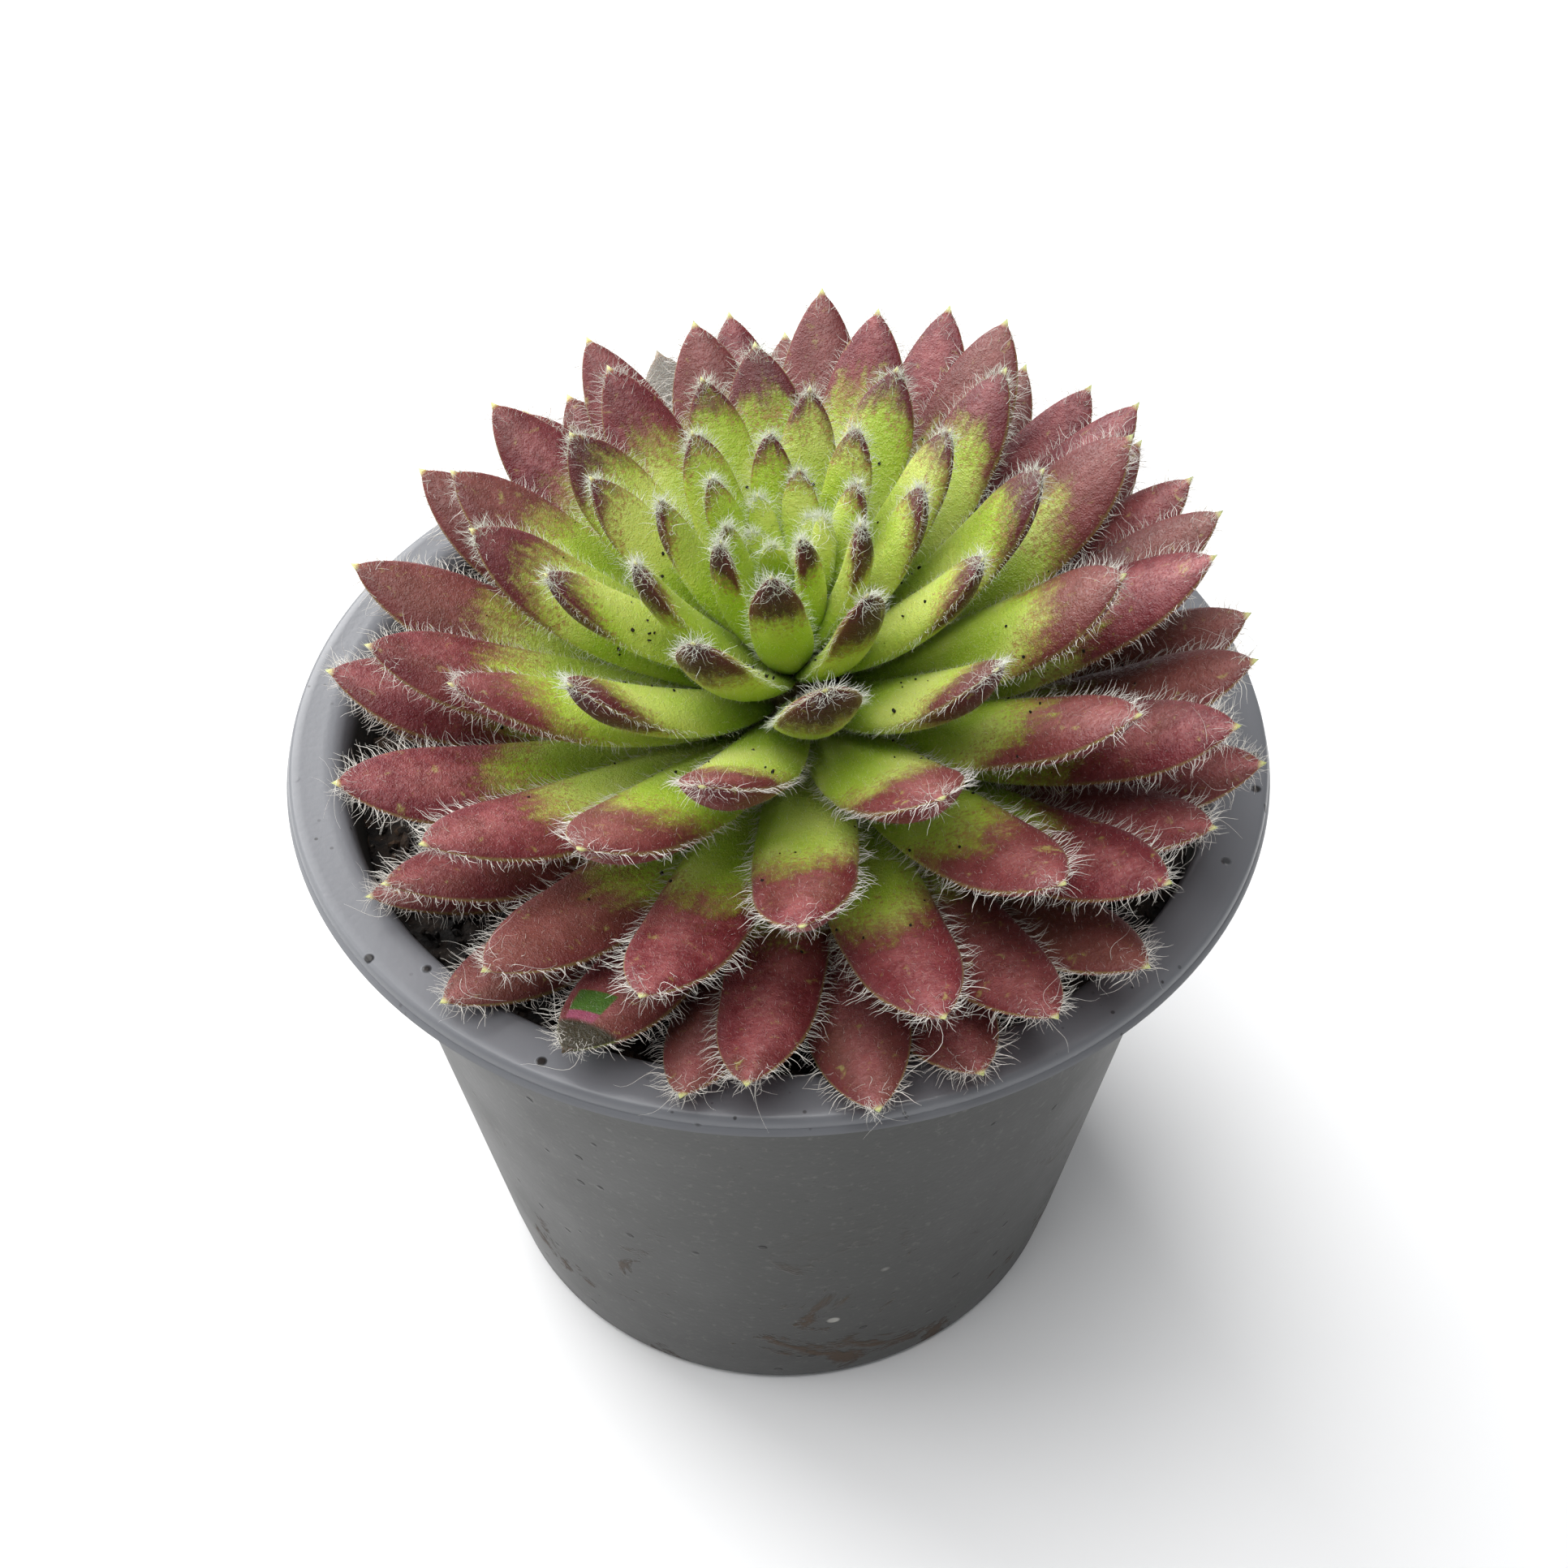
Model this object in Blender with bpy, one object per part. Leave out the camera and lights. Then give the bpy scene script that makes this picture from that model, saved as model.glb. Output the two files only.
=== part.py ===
"""Hairy houseleek rosette in a round plastic nursery pot.

The pot holds a plug of potting soil, the soil holds the stem, and the leaves spring from the
stem in a golden-angle spiral: the oldest lie lowest and widest, the youngest close up into the
heart. Units are metres, +Z is up, and the origin is the middle of the pot's base. The rosette
leans a little towards the front, -Y.
"""

import math
import random

import bmesh
import bpy
from mathutils import Matrix, Vector
from mathutils.bvhtree import BVHTree

# Pot
POT_HEIGHT = 0.0800
RIM_RADIUS = 0.0525
RIM_OVERHANG = 0.0051
RIM_DROP = 0.0022
RIM_SKIRT = 0.0010
RIM_ROUNDING = 0.0006
INNER_LIP_DROP = 0.0022
BASE_RADIUS = 0.0374
BASE_CHAMFER = 0.0012
WALL = 0.0010
FLOOR = 0.0014
DRAIN_COUNT = 8
DRAIN_RADIUS = 0.0032
DRAIN_EDGE_INSET = 0.0095
DRAIN_SIDES = 16
POT_SIDES = 64

# Soil
SOIL_DROP = 0.0090
SOIL_MOUND = 0.0015
SOIL_RIPPLE = 0.0005
LONG_RIPPLE = (310.0, 1.3, 270.0, -0.4)
SHORT_RIPPLE = 520.0
SOIL_SIDES = 48
SOIL_RINGS = 5

# Gap left between pieces that touch on the real plant
GAP = 0.0003

# Rosette: where it sits in the pot, how it leans, and how much further its oldest leaves droop
# that way than its youngest
CROWN_SINK = 0.0040
CROWN_FORWARD = 0.0052
CROWN_ASIDE = 0.0033
LEAN_FORWARD = math.radians(6.0)
LEAN_SIDE = math.radians(-6.4)
DROOP_FORWARD = math.radians(17.0)
DROOP_SIDE = math.radians(-3.0)

# Stem: its root tapers out below the neck, and a small bud tops it
STEM_BURIED = 0.0230
STEM_NECK_SETBACK = 0.0012
STEM_NECK_DEPTH = 0.0020
STEM_BUD_HEIGHT = 0.0014
STEM_ROOT_RADIUS = 0.0034
STEM_FOOT_RADIUS = 0.0064
STEM_TOP_RADIUS = 0.0016
STEM_HEIGHT = 0.0240
STEM_SIDES = 20

# Spiral, counted outwards from the youngest leaf
GOLDEN_ANGLE = math.radians(137.508)
SPIRAL_START = math.radians(308.0)
SPIRAL_TURN = -1
LEAF_COUNT = 98
GROWN_AGE = 71
HEART_LEAVES = 29
OLD_LEAVES = 15

# Blades: length and height follow from where the tips lie round the stem
HEART_TIP_RADIUS = 0.0025
OUTER_TIP_RADIUS = 0.0460
TIP_SPREAD_POWER = 1.44
HEART_TIP_HEIGHT = 0.0385
OUTER_TIP_HEIGHT = 0.0192
TIP_FALL_POWER = 2.75
OLD_LEAF_DROOP = 0.0020
HEART_DIP = 0.0074
HEART_DIP_LEAVES = 18
LEAF_WIDTH = 0.0104
YOUNG_LEAF_WIDTH = 0.0018
LEAF_THICKNESS = 0.0030
YOUNG_LEAF_THICKNESS = 0.0011
LEAF_FOOT_WIDTH = 0.0030
LEAF_FOOT_THICKNESS = 0.0011
FULL_WIDTH_AGE = 42
WIDTH_GROWTH_POWER = 0.65
LEAF_BOW = 0.12
YOUNG_LEAF_BOW = 0.15
WIDEST_AT = 0.68
TIP_BLUNTNESS = 0.72
PLUMPNESS_POWER = 1.3
PLUMP_ABOVE = 0.7
PLUMP_BELOW = 1.3

# A leaf that would press on an older one is lifted in small steps until it clears it
LIFT_STEP = math.radians(0.75)
LIFT_STEPS = 90
NATURAL_SEED = 7
TURN_SCATTER = math.radians(1.0)
LENGTH_SCATTER = 0.02

# Dry leaves lying on the soil: angle round the pot, distance in from the wall, size
DRY_LEAF_ANGLES = (math.radians(12.0), math.radians(118.0))
DRY_LEAF_LENGTH = 0.0110
DRY_LEAF_WIDTH = 0.0060
DRY_LEAF_THICKNESS = 0.0012
DRY_LEAF_WALL_GAP = 0.0015
DRY_LEAF_HEIGHT = 0.0016
DRY_LEAF_BLUNTNESS = 0.7
DRY_LEAF_STEPS = 6

# Section stations along a leaf, from foot to tip, as shares of its length
LEAF_STATIONS = (0.0, 0.18, 0.36, 0.54, 0.70, 0.82, 0.91, 0.965)
HEART_STATIONS = (0.0, 0.25, 0.50, 0.70, 0.86, 0.95)
LEAF_SECTION_POINTS = 8

# A pocket or a crumb smaller than this, in cubic metres, is closed up after leaves are joined
SMALLEST_SHELL = 1e-12

# Edges sharper than this stay crisp in smooth shading
CRISP_ANGLE = math.radians(40.0)


def clear_scene():
    """Remove every object that the scene starts with."""
    for item in list(bpy.data.objects):
        bpy.data.objects.remove(item, do_unlink=True)


def plain_material(name, color, roughness):
    """Return a Principled material with one colour."""
    material = bpy.data.materials.new(name)
    material.use_nodes = True
    shader = material.node_tree.nodes["Principled BSDF"]
    shader.inputs["Base Color"].default_value = (*color, 1.0)
    shader.inputs["Roughness"].default_value = roughness
    shader.inputs["Metallic"].default_value = 0.0
    return material


def add_object(name, mesh, material=None, smooth=True):
    """Link a mesh to the scene as a named object and shade it."""
    item = bpy.data.objects.new(name, mesh)
    bpy.context.scene.collection.objects.link(item)
    if material is not None:
        mesh.materials.append(material)
    if smooth:
        mesh.shade_smooth()
        mesh.set_sharp_from_angle(angle=CRISP_ANGLE)
    return item


def make_guide(item):
    """Keep a cutting or joining tool out of the finished model."""
    item.hide_render = True
    item.display_type = "WIRE"


def boolean(item, tool, operation):
    """Add a Boolean modifier that combines an object with a tool object."""
    modifier = item.modifiers.new(operation.lower(), "BOOLEAN")
    modifier.operation = operation
    modifier.solver = "EXACT"
    modifier.object = tool
    make_guide(tool)


def turned_mesh(name, profile, sides):
    """Turn a profile of (radius, height) points round Z.

    The profile runs from the axis at the bottom, up the outside and back to the axis, so the
    faces point outwards.
    """
    form = bmesh.new()
    rings = []
    for radius, height in profile:
        if radius == 0.0:
            rings.append([form.verts.new((0.0, 0.0, height))])
            continue
        ring = []
        for step in range(sides):
            angle = 2.0 * math.pi * step / sides
            ring.append(form.verts.new((radius * math.cos(angle), radius * math.sin(angle), height)))
        rings.append(ring)
    for lower, upper in zip(rings, rings[1:]):
        bridge(form, lower, upper)
    return finish_mesh(name, form)


def bridge(form, lower, upper):
    """Join two rings of vertices, either of which may be a single point."""
    count = max(len(lower), len(upper))
    for step in range(count):
        after = (step + 1) % count
        if len(lower) == 1:
            form.faces.new((lower[0], upper[after], upper[step]))
        elif len(upper) == 1:
            form.faces.new((lower[step], lower[after], upper[0]))
        else:
            form.faces.new((lower[step], lower[after], upper[after], upper[step]))


def finish_mesh(name, form):
    """Triangulate a bmesh, turn its faces outwards and return it as mesh data."""
    bmesh.ops.recalc_face_normals(form, faces=form.faces)
    bmesh.ops.triangulate(form, faces=form.faces)
    mesh = bpy.data.meshes.new(name)
    form.to_mesh(mesh)
    form.free()
    return mesh


def mix(start, end, share):
    """Blend two values."""
    return start + (end - start) * share


# ---------------------------------------------------------------- pot and soil


def body_top_radius():
    """Outer radius of the pot's wall where it meets the rim."""
    return RIM_RADIUS - RIM_OVERHANG


def inner_wall_radius(height):
    """Inner radius of the tapered wall at a height above the base."""
    share = height / POT_HEIGHT
    return mix(BASE_RADIUS, body_top_radius(), share) - WALL


def build_pot(material):
    """Thin tapered pot with a flat rim, a turned-down skirt and drain holes in its floor."""
    underside = POT_HEIGHT - WALL
    skirt_bottom = POT_HEIGHT - RIM_DROP
    profile = [
        (0.0, 0.0),
        (BASE_RADIUS - BASE_CHAMFER, 0.0),
        (BASE_RADIUS, BASE_CHAMFER),
        (body_top_radius(), underside),
        (RIM_RADIUS - RIM_SKIRT - RIM_ROUNDING, underside),
        (RIM_RADIUS - RIM_SKIRT, skirt_bottom),
        (RIM_RADIUS - 0.3 * RIM_ROUNDING, skirt_bottom),
        (RIM_RADIUS, POT_HEIGHT - 0.5 * RIM_DROP),
        (RIM_RADIUS - 0.3 * RIM_ROUNDING, POT_HEIGHT - 0.4 * RIM_ROUNDING),
        (RIM_RADIUS - RIM_ROUNDING, POT_HEIGHT),
        (body_top_radius() + 0.3 * RIM_ROUNDING, POT_HEIGHT),
        (body_top_radius() - 0.6 * WALL, POT_HEIGHT - 0.4 * WALL),
        (inner_wall_radius(POT_HEIGHT - INNER_LIP_DROP), POT_HEIGHT - INNER_LIP_DROP),
        (inner_wall_radius(FLOOR), FLOOR),
        (0.0, FLOOR),
    ]
    pot = add_object("pot", turned_mesh("pot", profile, POT_SIDES), material)
    ring_radius = BASE_RADIUS - DRAIN_EDGE_INSET
    low = -FLOOR
    high = 2.0 * FLOOR
    cutter_profile = [(0.0, low), (DRAIN_RADIUS, low), (DRAIN_RADIUS, high), (0.0, high)]
    for index in range(DRAIN_COUNT):
        angle = 2.0 * math.pi * (index + 0.5) / DRAIN_COUNT
        cutter_mesh = turned_mesh("drain_cutter", cutter_profile, DRAIN_SIDES)
        cutter = add_object(f"drain_cutter_{index + 1}", cutter_mesh)
        cutter.location = (ring_radius * math.cos(angle), ring_radius * math.sin(angle), 0.0)
        boolean(pot, cutter, "DIFFERENCE")
    return pot


def soil_height(x, y):
    """Height of the soil's gently mounded, uneven top."""
    reach = inner_wall_radius(POT_HEIGHT - SOIL_DROP)
    share = min(math.hypot(x, y) / reach, 1.0)
    wave_x, shift_x, wave_y, shift_y = LONG_RIPPLE
    ripple = math.sin(wave_x * x + shift_x) * math.cos(wave_y * y + shift_y)
    ripple += 0.5 * math.sin(SHORT_RIPPLE * (x - y))
    return POT_HEIGHT - SOIL_DROP + SOIL_MOUND * (1.0 - share * share) + SOIL_RIPPLE * ripple


def build_soil(material, socket):
    """Plug of soil that fills the pot below the rim, with a socket for the stem."""
    form = bmesh.new()
    top_radius = inner_wall_radius(POT_HEIGHT - SOIL_DROP) - 2.0 * GAP
    bottom = FLOOR + GAP
    outline = [(0.0, bottom), (inner_wall_radius(bottom) - GAP, bottom)]
    outline += [(top_radius * (SOIL_RINGS - ring) / SOIL_RINGS, None) for ring in range(SOIL_RINGS)]
    outline.append((0.0, None))
    rings = []
    for radius, height in outline:
        ring = []
        for step in range(SOIL_SIDES if radius > 0.0 else 1):
            angle = 2.0 * math.pi * step / SOIL_SIDES
            x = radius * math.cos(angle)
            y = radius * math.sin(angle)
            ring.append(form.verts.new((x, y, soil_height(x, y) if height is None else height)))
        rings.append(ring)
    for lower, upper in zip(rings, rings[1:]):
        bridge(form, lower, upper)
    soil = add_object("soil", finish_mesh("soil", form), material)
    boolean(soil, socket, "DIFFERENCE")
    return soil


# ---------------------------------------------------------------- stem


def rosette_frame():
    """Place of the rosette: its origin is low on the stem, its Z axis points along the stem."""
    place = Matrix.Translation((CROWN_ASIDE, -CROWN_FORWARD, POT_HEIGHT - CROWN_SINK))
    return place @ Matrix.Rotation(LEAN_SIDE, 4, "Y") @ Matrix.Rotation(LEAN_FORWARD, 4, "X")


def stem_radius(height):
    """Radius of the leaf-bearing part of the stem at a height in the rosette's frame."""
    return mix(STEM_FOOT_RADIUS, STEM_TOP_RADIUS, min(max(height / STEM_HEIGHT, 0.0), 1.0))


def heart_foot_height():
    """Height on the stem where the separate leaves stop and the heart begins."""
    return foot_height(leaf_share(HEART_LEAVES)) + 0.5 * LEAF_FOOT_THICKNESS


def stem_profile(growth):
    """Profile of the stem, grown on every side by a clearance."""
    top = heart_foot_height() - GAP
    return [
        (0.0, -STEM_BURIED - growth),
        (STEM_ROOT_RADIUS + growth, -STEM_BURIED - growth),
        (STEM_ROOT_RADIUS + growth, -0.45 * STEM_BURIED),
        (STEM_FOOT_RADIUS - STEM_NECK_SETBACK + growth, -STEM_NECK_DEPTH),
        (stem_radius(0.0) + growth, 0.0),
        (stem_radius(top) + growth, top + growth),
        (0.0, top + growth),
    ]


def build_stem(material):
    """Short thick stem, rooted in the soil and covered by the feet of the leaves."""
    mesh = turned_mesh("stem", stem_profile(0.0), STEM_SIDES)
    mesh.transform(rosette_frame())
    return add_object("stem", mesh, material)


def build_socket():
    """Tool that cuts the stem's clearance hole in the soil."""
    mesh = turned_mesh("stem_socket", stem_profile(GAP), STEM_SIDES)
    mesh.transform(rosette_frame())
    return add_object("stem_socket", mesh)


# ---------------------------------------------------------------- leaves


def leaf_share(age):
    """Age of a leaf as a share: 0 for the youngest, 1 for the oldest."""
    return (age + 0.5) / LEAF_COUNT


def foot_height(share):
    """Height on the stem at which a leaf of this age grows."""
    return STEM_HEIGHT * (1.0 - share)


def is_fused(age):
    """True for the youngest leaves, joined in the heart, and the oldest, joined to the stem."""
    return age < HEART_LEAVES or age >= LEAF_COUNT - OLD_LEAVES


def tip_place(age):
    """Where a leaf's tip belongs in the rosette's frame; it may still be lifted off its neighbours."""
    grown = min((age + 0.5) / GROWN_AGE, 1.0)
    aged = max(age + 0.5 - GROWN_AGE, 0.0) / (LEAF_COUNT - GROWN_AGE)
    spread = mix(HEART_TIP_RADIUS, OUTER_TIP_RADIUS, math.sin(0.5 * math.pi * grown) ** TIP_SPREAD_POWER)
    rise = mix(HEART_TIP_HEIGHT, OUTER_TIP_HEIGHT, grown**TIP_FALL_POWER) - OLD_LEAF_DROOP * aged
    rise -= HEART_DIP * max(1.0 - age / HEART_DIP_LEAVES, 0.0) ** 2
    turn = SPIRAL_START + SPIRAL_TURN * GOLDEN_ANGLE * age
    tilt = leaf_share(age) - 0.5
    droop = Matrix.Rotation(tilt * DROOP_SIDE, 3, "Y") @ Matrix.Rotation(tilt * DROOP_FORWARD, 3, "X")
    return droop @ Vector((spread * math.cos(turn), spread * math.sin(turn), rise))


class Leaf:
    """One leaf: a bowed, pointed, plump blade that lies in a plane through the stem's axis."""

    def __init__(self, age, scatter):
        tip = tip_place(age)
        spread = math.hypot(tip.x, tip.y)
        rise = tip.z
        self.turn = math.atan2(tip.y, tip.x) + scatter.uniform(-1.0, 1.0) * TURN_SCATTER
        foot_z = foot_height(leaf_share(age))
        if age < HEART_LEAVES:
            foot_z = max(foot_z, heart_foot_height() + LEAF_FOOT_THICKNESS)
        standoff = -GAP if is_fused(age) else 2.0 * GAP + 0.5 * LEAF_FOOT_THICKNESS
        foot_r = stem_radius(foot_z) + standoff
        self.foot = (foot_r, foot_z)
        self.length = math.hypot(spread - foot_r, rise - foot_z)
        self.length *= 1.0 + scatter.uniform(-1.0, 1.0) * LENGTH_SCATTER
        self.pitch = math.atan2(rise - foot_z, spread - foot_r)
        growth = min((age + 0.5) / FULL_WIDTH_AGE, 1.0) ** WIDTH_GROWTH_POWER
        self.width = mix(YOUNG_LEAF_WIDTH, LEAF_WIDTH, growth)
        self.thickness = mix(YOUNG_LEAF_THICKNESS, LEAF_THICKNESS, growth)
        self.bow = mix(YOUNG_LEAF_BOW, LEAF_BOW, growth)
        self.stations = HEART_STATIONS if age < HEART_LEAVES else LEAF_STATIONS

    def spine(self, share):
        """Point of the bowed centre line and its direction, as (outwards, up) pairs."""
        along = Vector((math.cos(self.pitch), math.sin(self.pitch)))
        outwards = Vector((along.y, -along.x))
        start = Vector(self.foot)
        end = start + along * self.length
        middle = start + along * (0.5 * self.length) + outwards * (self.bow * self.length)
        point = start * (1.0 - share) ** 2 + middle * (2.0 * share * (1.0 - share)) + end * share**2
        direction = ((middle - start) * (1.0 - share) + (end - middle) * share).normalized()
        return point, direction

    def swell(self, share):
        """Fullness of the blade along its length: 0 at the foot, 1 at its widest, 0 at the tip."""
        if share < WIDEST_AT:
            return math.sin(0.5 * math.pi * share / WIDEST_AT)
        return (1.0 - ((share - WIDEST_AT) / (1.0 - WIDEST_AT)) ** 2) ** TIP_BLUNTNESS

    def half_section(self, share):
        """Half width, height above and depth below the centre line."""
        fullness = self.swell(share)
        taper = max(1.0 - share / WIDEST_AT, 0.0)
        half_width = 0.5 * (self.width * fullness + LEAF_FOOT_WIDTH * taper)
        plumpness = self.thickness * fullness**PLUMPNESS_POWER + LEAF_FOOT_THICKNESS * taper
        return half_width, 0.5 * PLUMP_ABOVE * plumpness, 0.5 * PLUMP_BELOW * plumpness

    def mesh(self, name, growth=0.0):
        """Loft the blade through its stations, grown on every side by a clearance."""
        form = bmesh.new()
        across = Vector((-math.sin(self.turn), math.cos(self.turn), 0.0))
        rings = [self.ring(form, share, across, growth) for share in self.stations]
        tip, direction = self.spine(1.0)
        rings.append([form.verts.new(self.in_rosette(tip + direction * growth))])
        form.faces.new(rings[0])
        for lower, upper in zip(rings, rings[1:]):
            bridge(form, lower, upper)
        mesh = finish_mesh(name, form)
        mesh.transform(rosette_frame())
        return mesh

    def ring(self, form, share, across, growth):
        """Vertices of one cross-section: a flat-topped oval with a rounded keel."""
        point, direction = self.spine(share)
        if share == 0.0:
            point = point - direction * growth
        upwards = Vector((-direction.y, direction.x))
        half_width, above, below = self.half_section(share)
        ring = []
        for step in range(LEAF_SECTION_POINTS):
            angle = 2.0 * math.pi * step / LEAF_SECTION_POINTS
            side = math.cos(angle) * (half_width + growth)
            lift = math.sin(angle) * ((above if math.sin(angle) > 0.0 else below) + growth)
            ring.append(form.verts.new(self.in_rosette(point + upwards * lift) + across * side))
        return ring

    def in_rosette(self, point):
        """Turn an (outwards, up) point of the leaf's plane into the rosette's frame."""
        return Vector((point.x * math.cos(self.turn), point.x * math.sin(self.turn), point.y))


def surface_tree(item_or_mesh):
    """Search tree of a mesh, or of an object as its modifiers leave it."""
    if isinstance(item_or_mesh, bpy.types.Object):
        return BVHTree.FromObject(item_or_mesh, bpy.context.evaluated_depsgraph_get())
    points = [vertex.co for vertex in item_or_mesh.vertices]
    faces = [tuple(face.vertices) for face in item_or_mesh.polygons]
    return BVHTree.FromPolygons(points, faces)


def lift_clear(leaf, obstacles):
    """Raise a leaf about its foot until it clears everything below it by the gap."""
    for _ in range(LIFT_STEPS):
        guard = leaf.mesh("guard", GAP)
        tree = surface_tree(guard)
        bpy.data.meshes.remove(guard)
        if not any(tree.overlap(obstacle) for obstacle in obstacles):
            return
        leaf.pitch += LIFT_STEP


def build_leaves(material, obstacles):
    """Place the separate leaves from the oldest, lowest one up to the edge of the heart."""
    scatter = random.Random(NATURAL_SEED)
    ages = range(LEAF_COUNT - OLD_LEAVES - 1, HEART_LEAVES - 1, -1)
    for number, age in enumerate(ages, start=1):
        leaf = Leaf(age, scatter)
        lift_clear(leaf, obstacles)
        name = f"leaf_{number:02d}"
        mesh = leaf.mesh(name)
        obstacles.append(surface_tree(mesh))
        add_object(name, mesh, material)


def fuse_leaves(trunk, ages, seed, obstacles):
    """Grow leaves out of a trunk object and join them to it in one solid.

    Returns the leaves' search trees.
    """
    tools = bpy.data.collections.new(f"{trunk.name}_leaves")
    bpy.context.scene.collection.children.link(tools)
    scatter = random.Random(seed)
    trees = []
    for age in ages:
        leaf = Leaf(age, scatter)
        lift_clear(leaf, obstacles)
        mesh = leaf.mesh("fused_leaf")
        trees.append(surface_tree(mesh))
        tools.objects.link(bpy.data.objects.new("fused_leaf", mesh))
    modifier = trunk.modifiers.new("union", "BOOLEAN")
    modifier.operation = "UNION"
    modifier.solver = "EXACT"
    modifier.operand_type = "COLLECTION"
    modifier.collection = tools
    settle_modifiers(trunk)
    for item in list(tools.objects):
        bpy.data.objects.remove(item, do_unlink=True)
    return trees


def settle_modifiers(item):
    """Make an object's modifiers permanent and fill any pocket they sealed inside it."""
    evaluated = item.evaluated_get(bpy.context.evaluated_depsgraph_get())
    mesh = bpy.data.meshes.new_from_object(evaluated)
    item.modifiers.clear()
    form = bmesh.new()
    form.from_mesh(mesh)
    for shell in shells(form):
        if enclosed_volume(shell) < SMALLEST_SHELL:
            bmesh.ops.delete(form, geom=shell, context="FACES")
    form.to_mesh(mesh)
    form.free()
    item.data = mesh


def enclosed_volume(shell):
    """Volume inside a closed shell of faces, negative where they look inwards."""
    centre = shell[0].calc_center_median()
    total = 0.0
    for face in shell:
        total += (face.calc_center_median() - centre).dot(face.normal) * face.calc_area()
    return total / 3.0


def shells(form):
    """Lists of the faces that hang together."""
    waiting = set(form.faces)
    found = []
    while waiting:
        shell = []
        edge_of_search = [waiting.pop()]
        while edge_of_search:
            face = edge_of_search.pop()
            shell.append(face)
            for edge in face.edges:
                for neighbour in edge.link_faces:
                    if neighbour in waiting:
                        waiting.remove(neighbour)
                        edge_of_search.append(neighbour)
        found.append(shell)
    return found


def build_heart(material, obstacles):
    """Close the youngest leaves over the top of the stem and join them into one bud."""
    base = heart_foot_height()
    profile = [
        (0.0, base),
        (stem_radius(base), base),
        (stem_radius(STEM_HEIGHT), STEM_HEIGHT),
        (0.5 * stem_radius(STEM_HEIGHT), STEM_HEIGHT + 0.7 * STEM_BUD_HEIGHT),
        (0.0, STEM_HEIGHT + STEM_BUD_HEIGHT),
    ]
    mesh = turned_mesh("heart", profile, STEM_SIDES)
    mesh.transform(rosette_frame())
    heart = add_object("heart", mesh, material)
    fuse_leaves(heart, range(HEART_LEAVES), NATURAL_SEED + 1, obstacles)
    return heart


def build_dry_leaves(material):
    """Withered leaves that have dropped onto the soil beside the wall."""
    trees = []
    for number, turn in enumerate(DRY_LEAF_ANGLES, start=1):
        name = f"dry_leaf_{number}"
        mesh = dry_leaf_mesh(name, turn)
        trees.append(surface_tree(mesh))
        add_object(name, mesh, material)
    return trees


def dry_leaf_mesh(name, turn):
    """A thin, cupped, pointed flake that lies along the wall."""
    form = bmesh.new()
    reach = inner_wall_radius(POT_HEIGHT - SOIL_DROP) - DRY_LEAF_WALL_GAP - 0.5 * DRY_LEAF_WIDTH
    height = POT_HEIGHT - SOIL_DROP + DRY_LEAF_HEIGHT
    centre = Vector((reach * math.cos(turn), reach * math.sin(turn), height))
    along = Vector((-math.sin(turn), math.cos(turn), 0.0))
    across = Vector((math.cos(turn), math.sin(turn), 0.0))
    rings = [[form.verts.new(centre - along * (0.5 * DRY_LEAF_LENGTH))]]
    for step in range(1, DRY_LEAF_STEPS):
        share = step / DRY_LEAF_STEPS
        fullness = math.sin(math.pi * share) ** DRY_LEAF_BLUNTNESS
        middle = centre + along * ((share - 0.5) * DRY_LEAF_LENGTH)
        ring = []
        for corner in range(LEAF_SECTION_POINTS):
            angle = 2.0 * math.pi * corner / LEAF_SECTION_POINTS
            side = 0.5 * DRY_LEAF_WIDTH * fullness * math.cos(angle)
            cup = DRY_LEAF_HEIGHT * (2.0 * side / DRY_LEAF_WIDTH) ** 2
            lift = 0.5 * DRY_LEAF_THICKNESS * fullness * math.sin(angle) + cup
            ring.append(form.verts.new(middle + across * side + Vector((0.0, 0.0, lift))))
        rings.append(ring)
    rings.append([form.verts.new(centre + along * (0.5 * DRY_LEAF_LENGTH))])
    for lower, upper in zip(rings, rings[1:]):
        bridge(form, lower, upper)
    return finish_mesh(name, form)


def main():
    """Build the potted rosette from the pot up."""
    clear_scene()
    pot_plastic = plain_material("pot_plastic", (0.23, 0.24, 0.25), 0.45)
    soil_mix = plain_material("soil", (0.02, 0.017, 0.015), 0.95)
    stem_skin = plain_material("stem", (0.30, 0.22, 0.10), 0.80)
    leaf_skin = plain_material("leaf", (0.33, 0.16, 0.12), 0.55)
    heart_skin = plain_material("heart", (0.30, 0.50, 0.10), 0.60)
    dry_skin = plain_material("dry_leaf", (0.28, 0.20, 0.13), 0.85)
    pot = build_pot(pot_plastic)
    soil = build_soil(soil_mix, build_socket())
    stem = build_stem(stem_skin)
    dry = build_dry_leaves(dry_skin)
    bpy.context.view_layer.update()
    obstacles = [surface_tree(pot), surface_tree(soil)] + dry
    oldest = range(LEAF_COUNT - OLD_LEAVES, LEAF_COUNT)
    obstacles += fuse_leaves(stem, oldest, NATURAL_SEED + 2, obstacles)
    build_leaves(leaf_skin, obstacles)
    build_heart(heart_skin, obstacles)


main()
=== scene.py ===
"""Hairy houseleek in a round nursery pot: the finished look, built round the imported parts.

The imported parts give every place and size. The leaves follow the plant's own growth rule, one
leaf every golden angle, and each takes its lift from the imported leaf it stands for.
"""

import logging
import math
import random
from dataclasses import dataclass, field
from enum import Enum
from typing import Iterable, Sequence

import bmesh
import bpy
import numpy as np
from mathutils import Matrix, Vector
from mathutils.bvhtree import BVHTree


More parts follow.
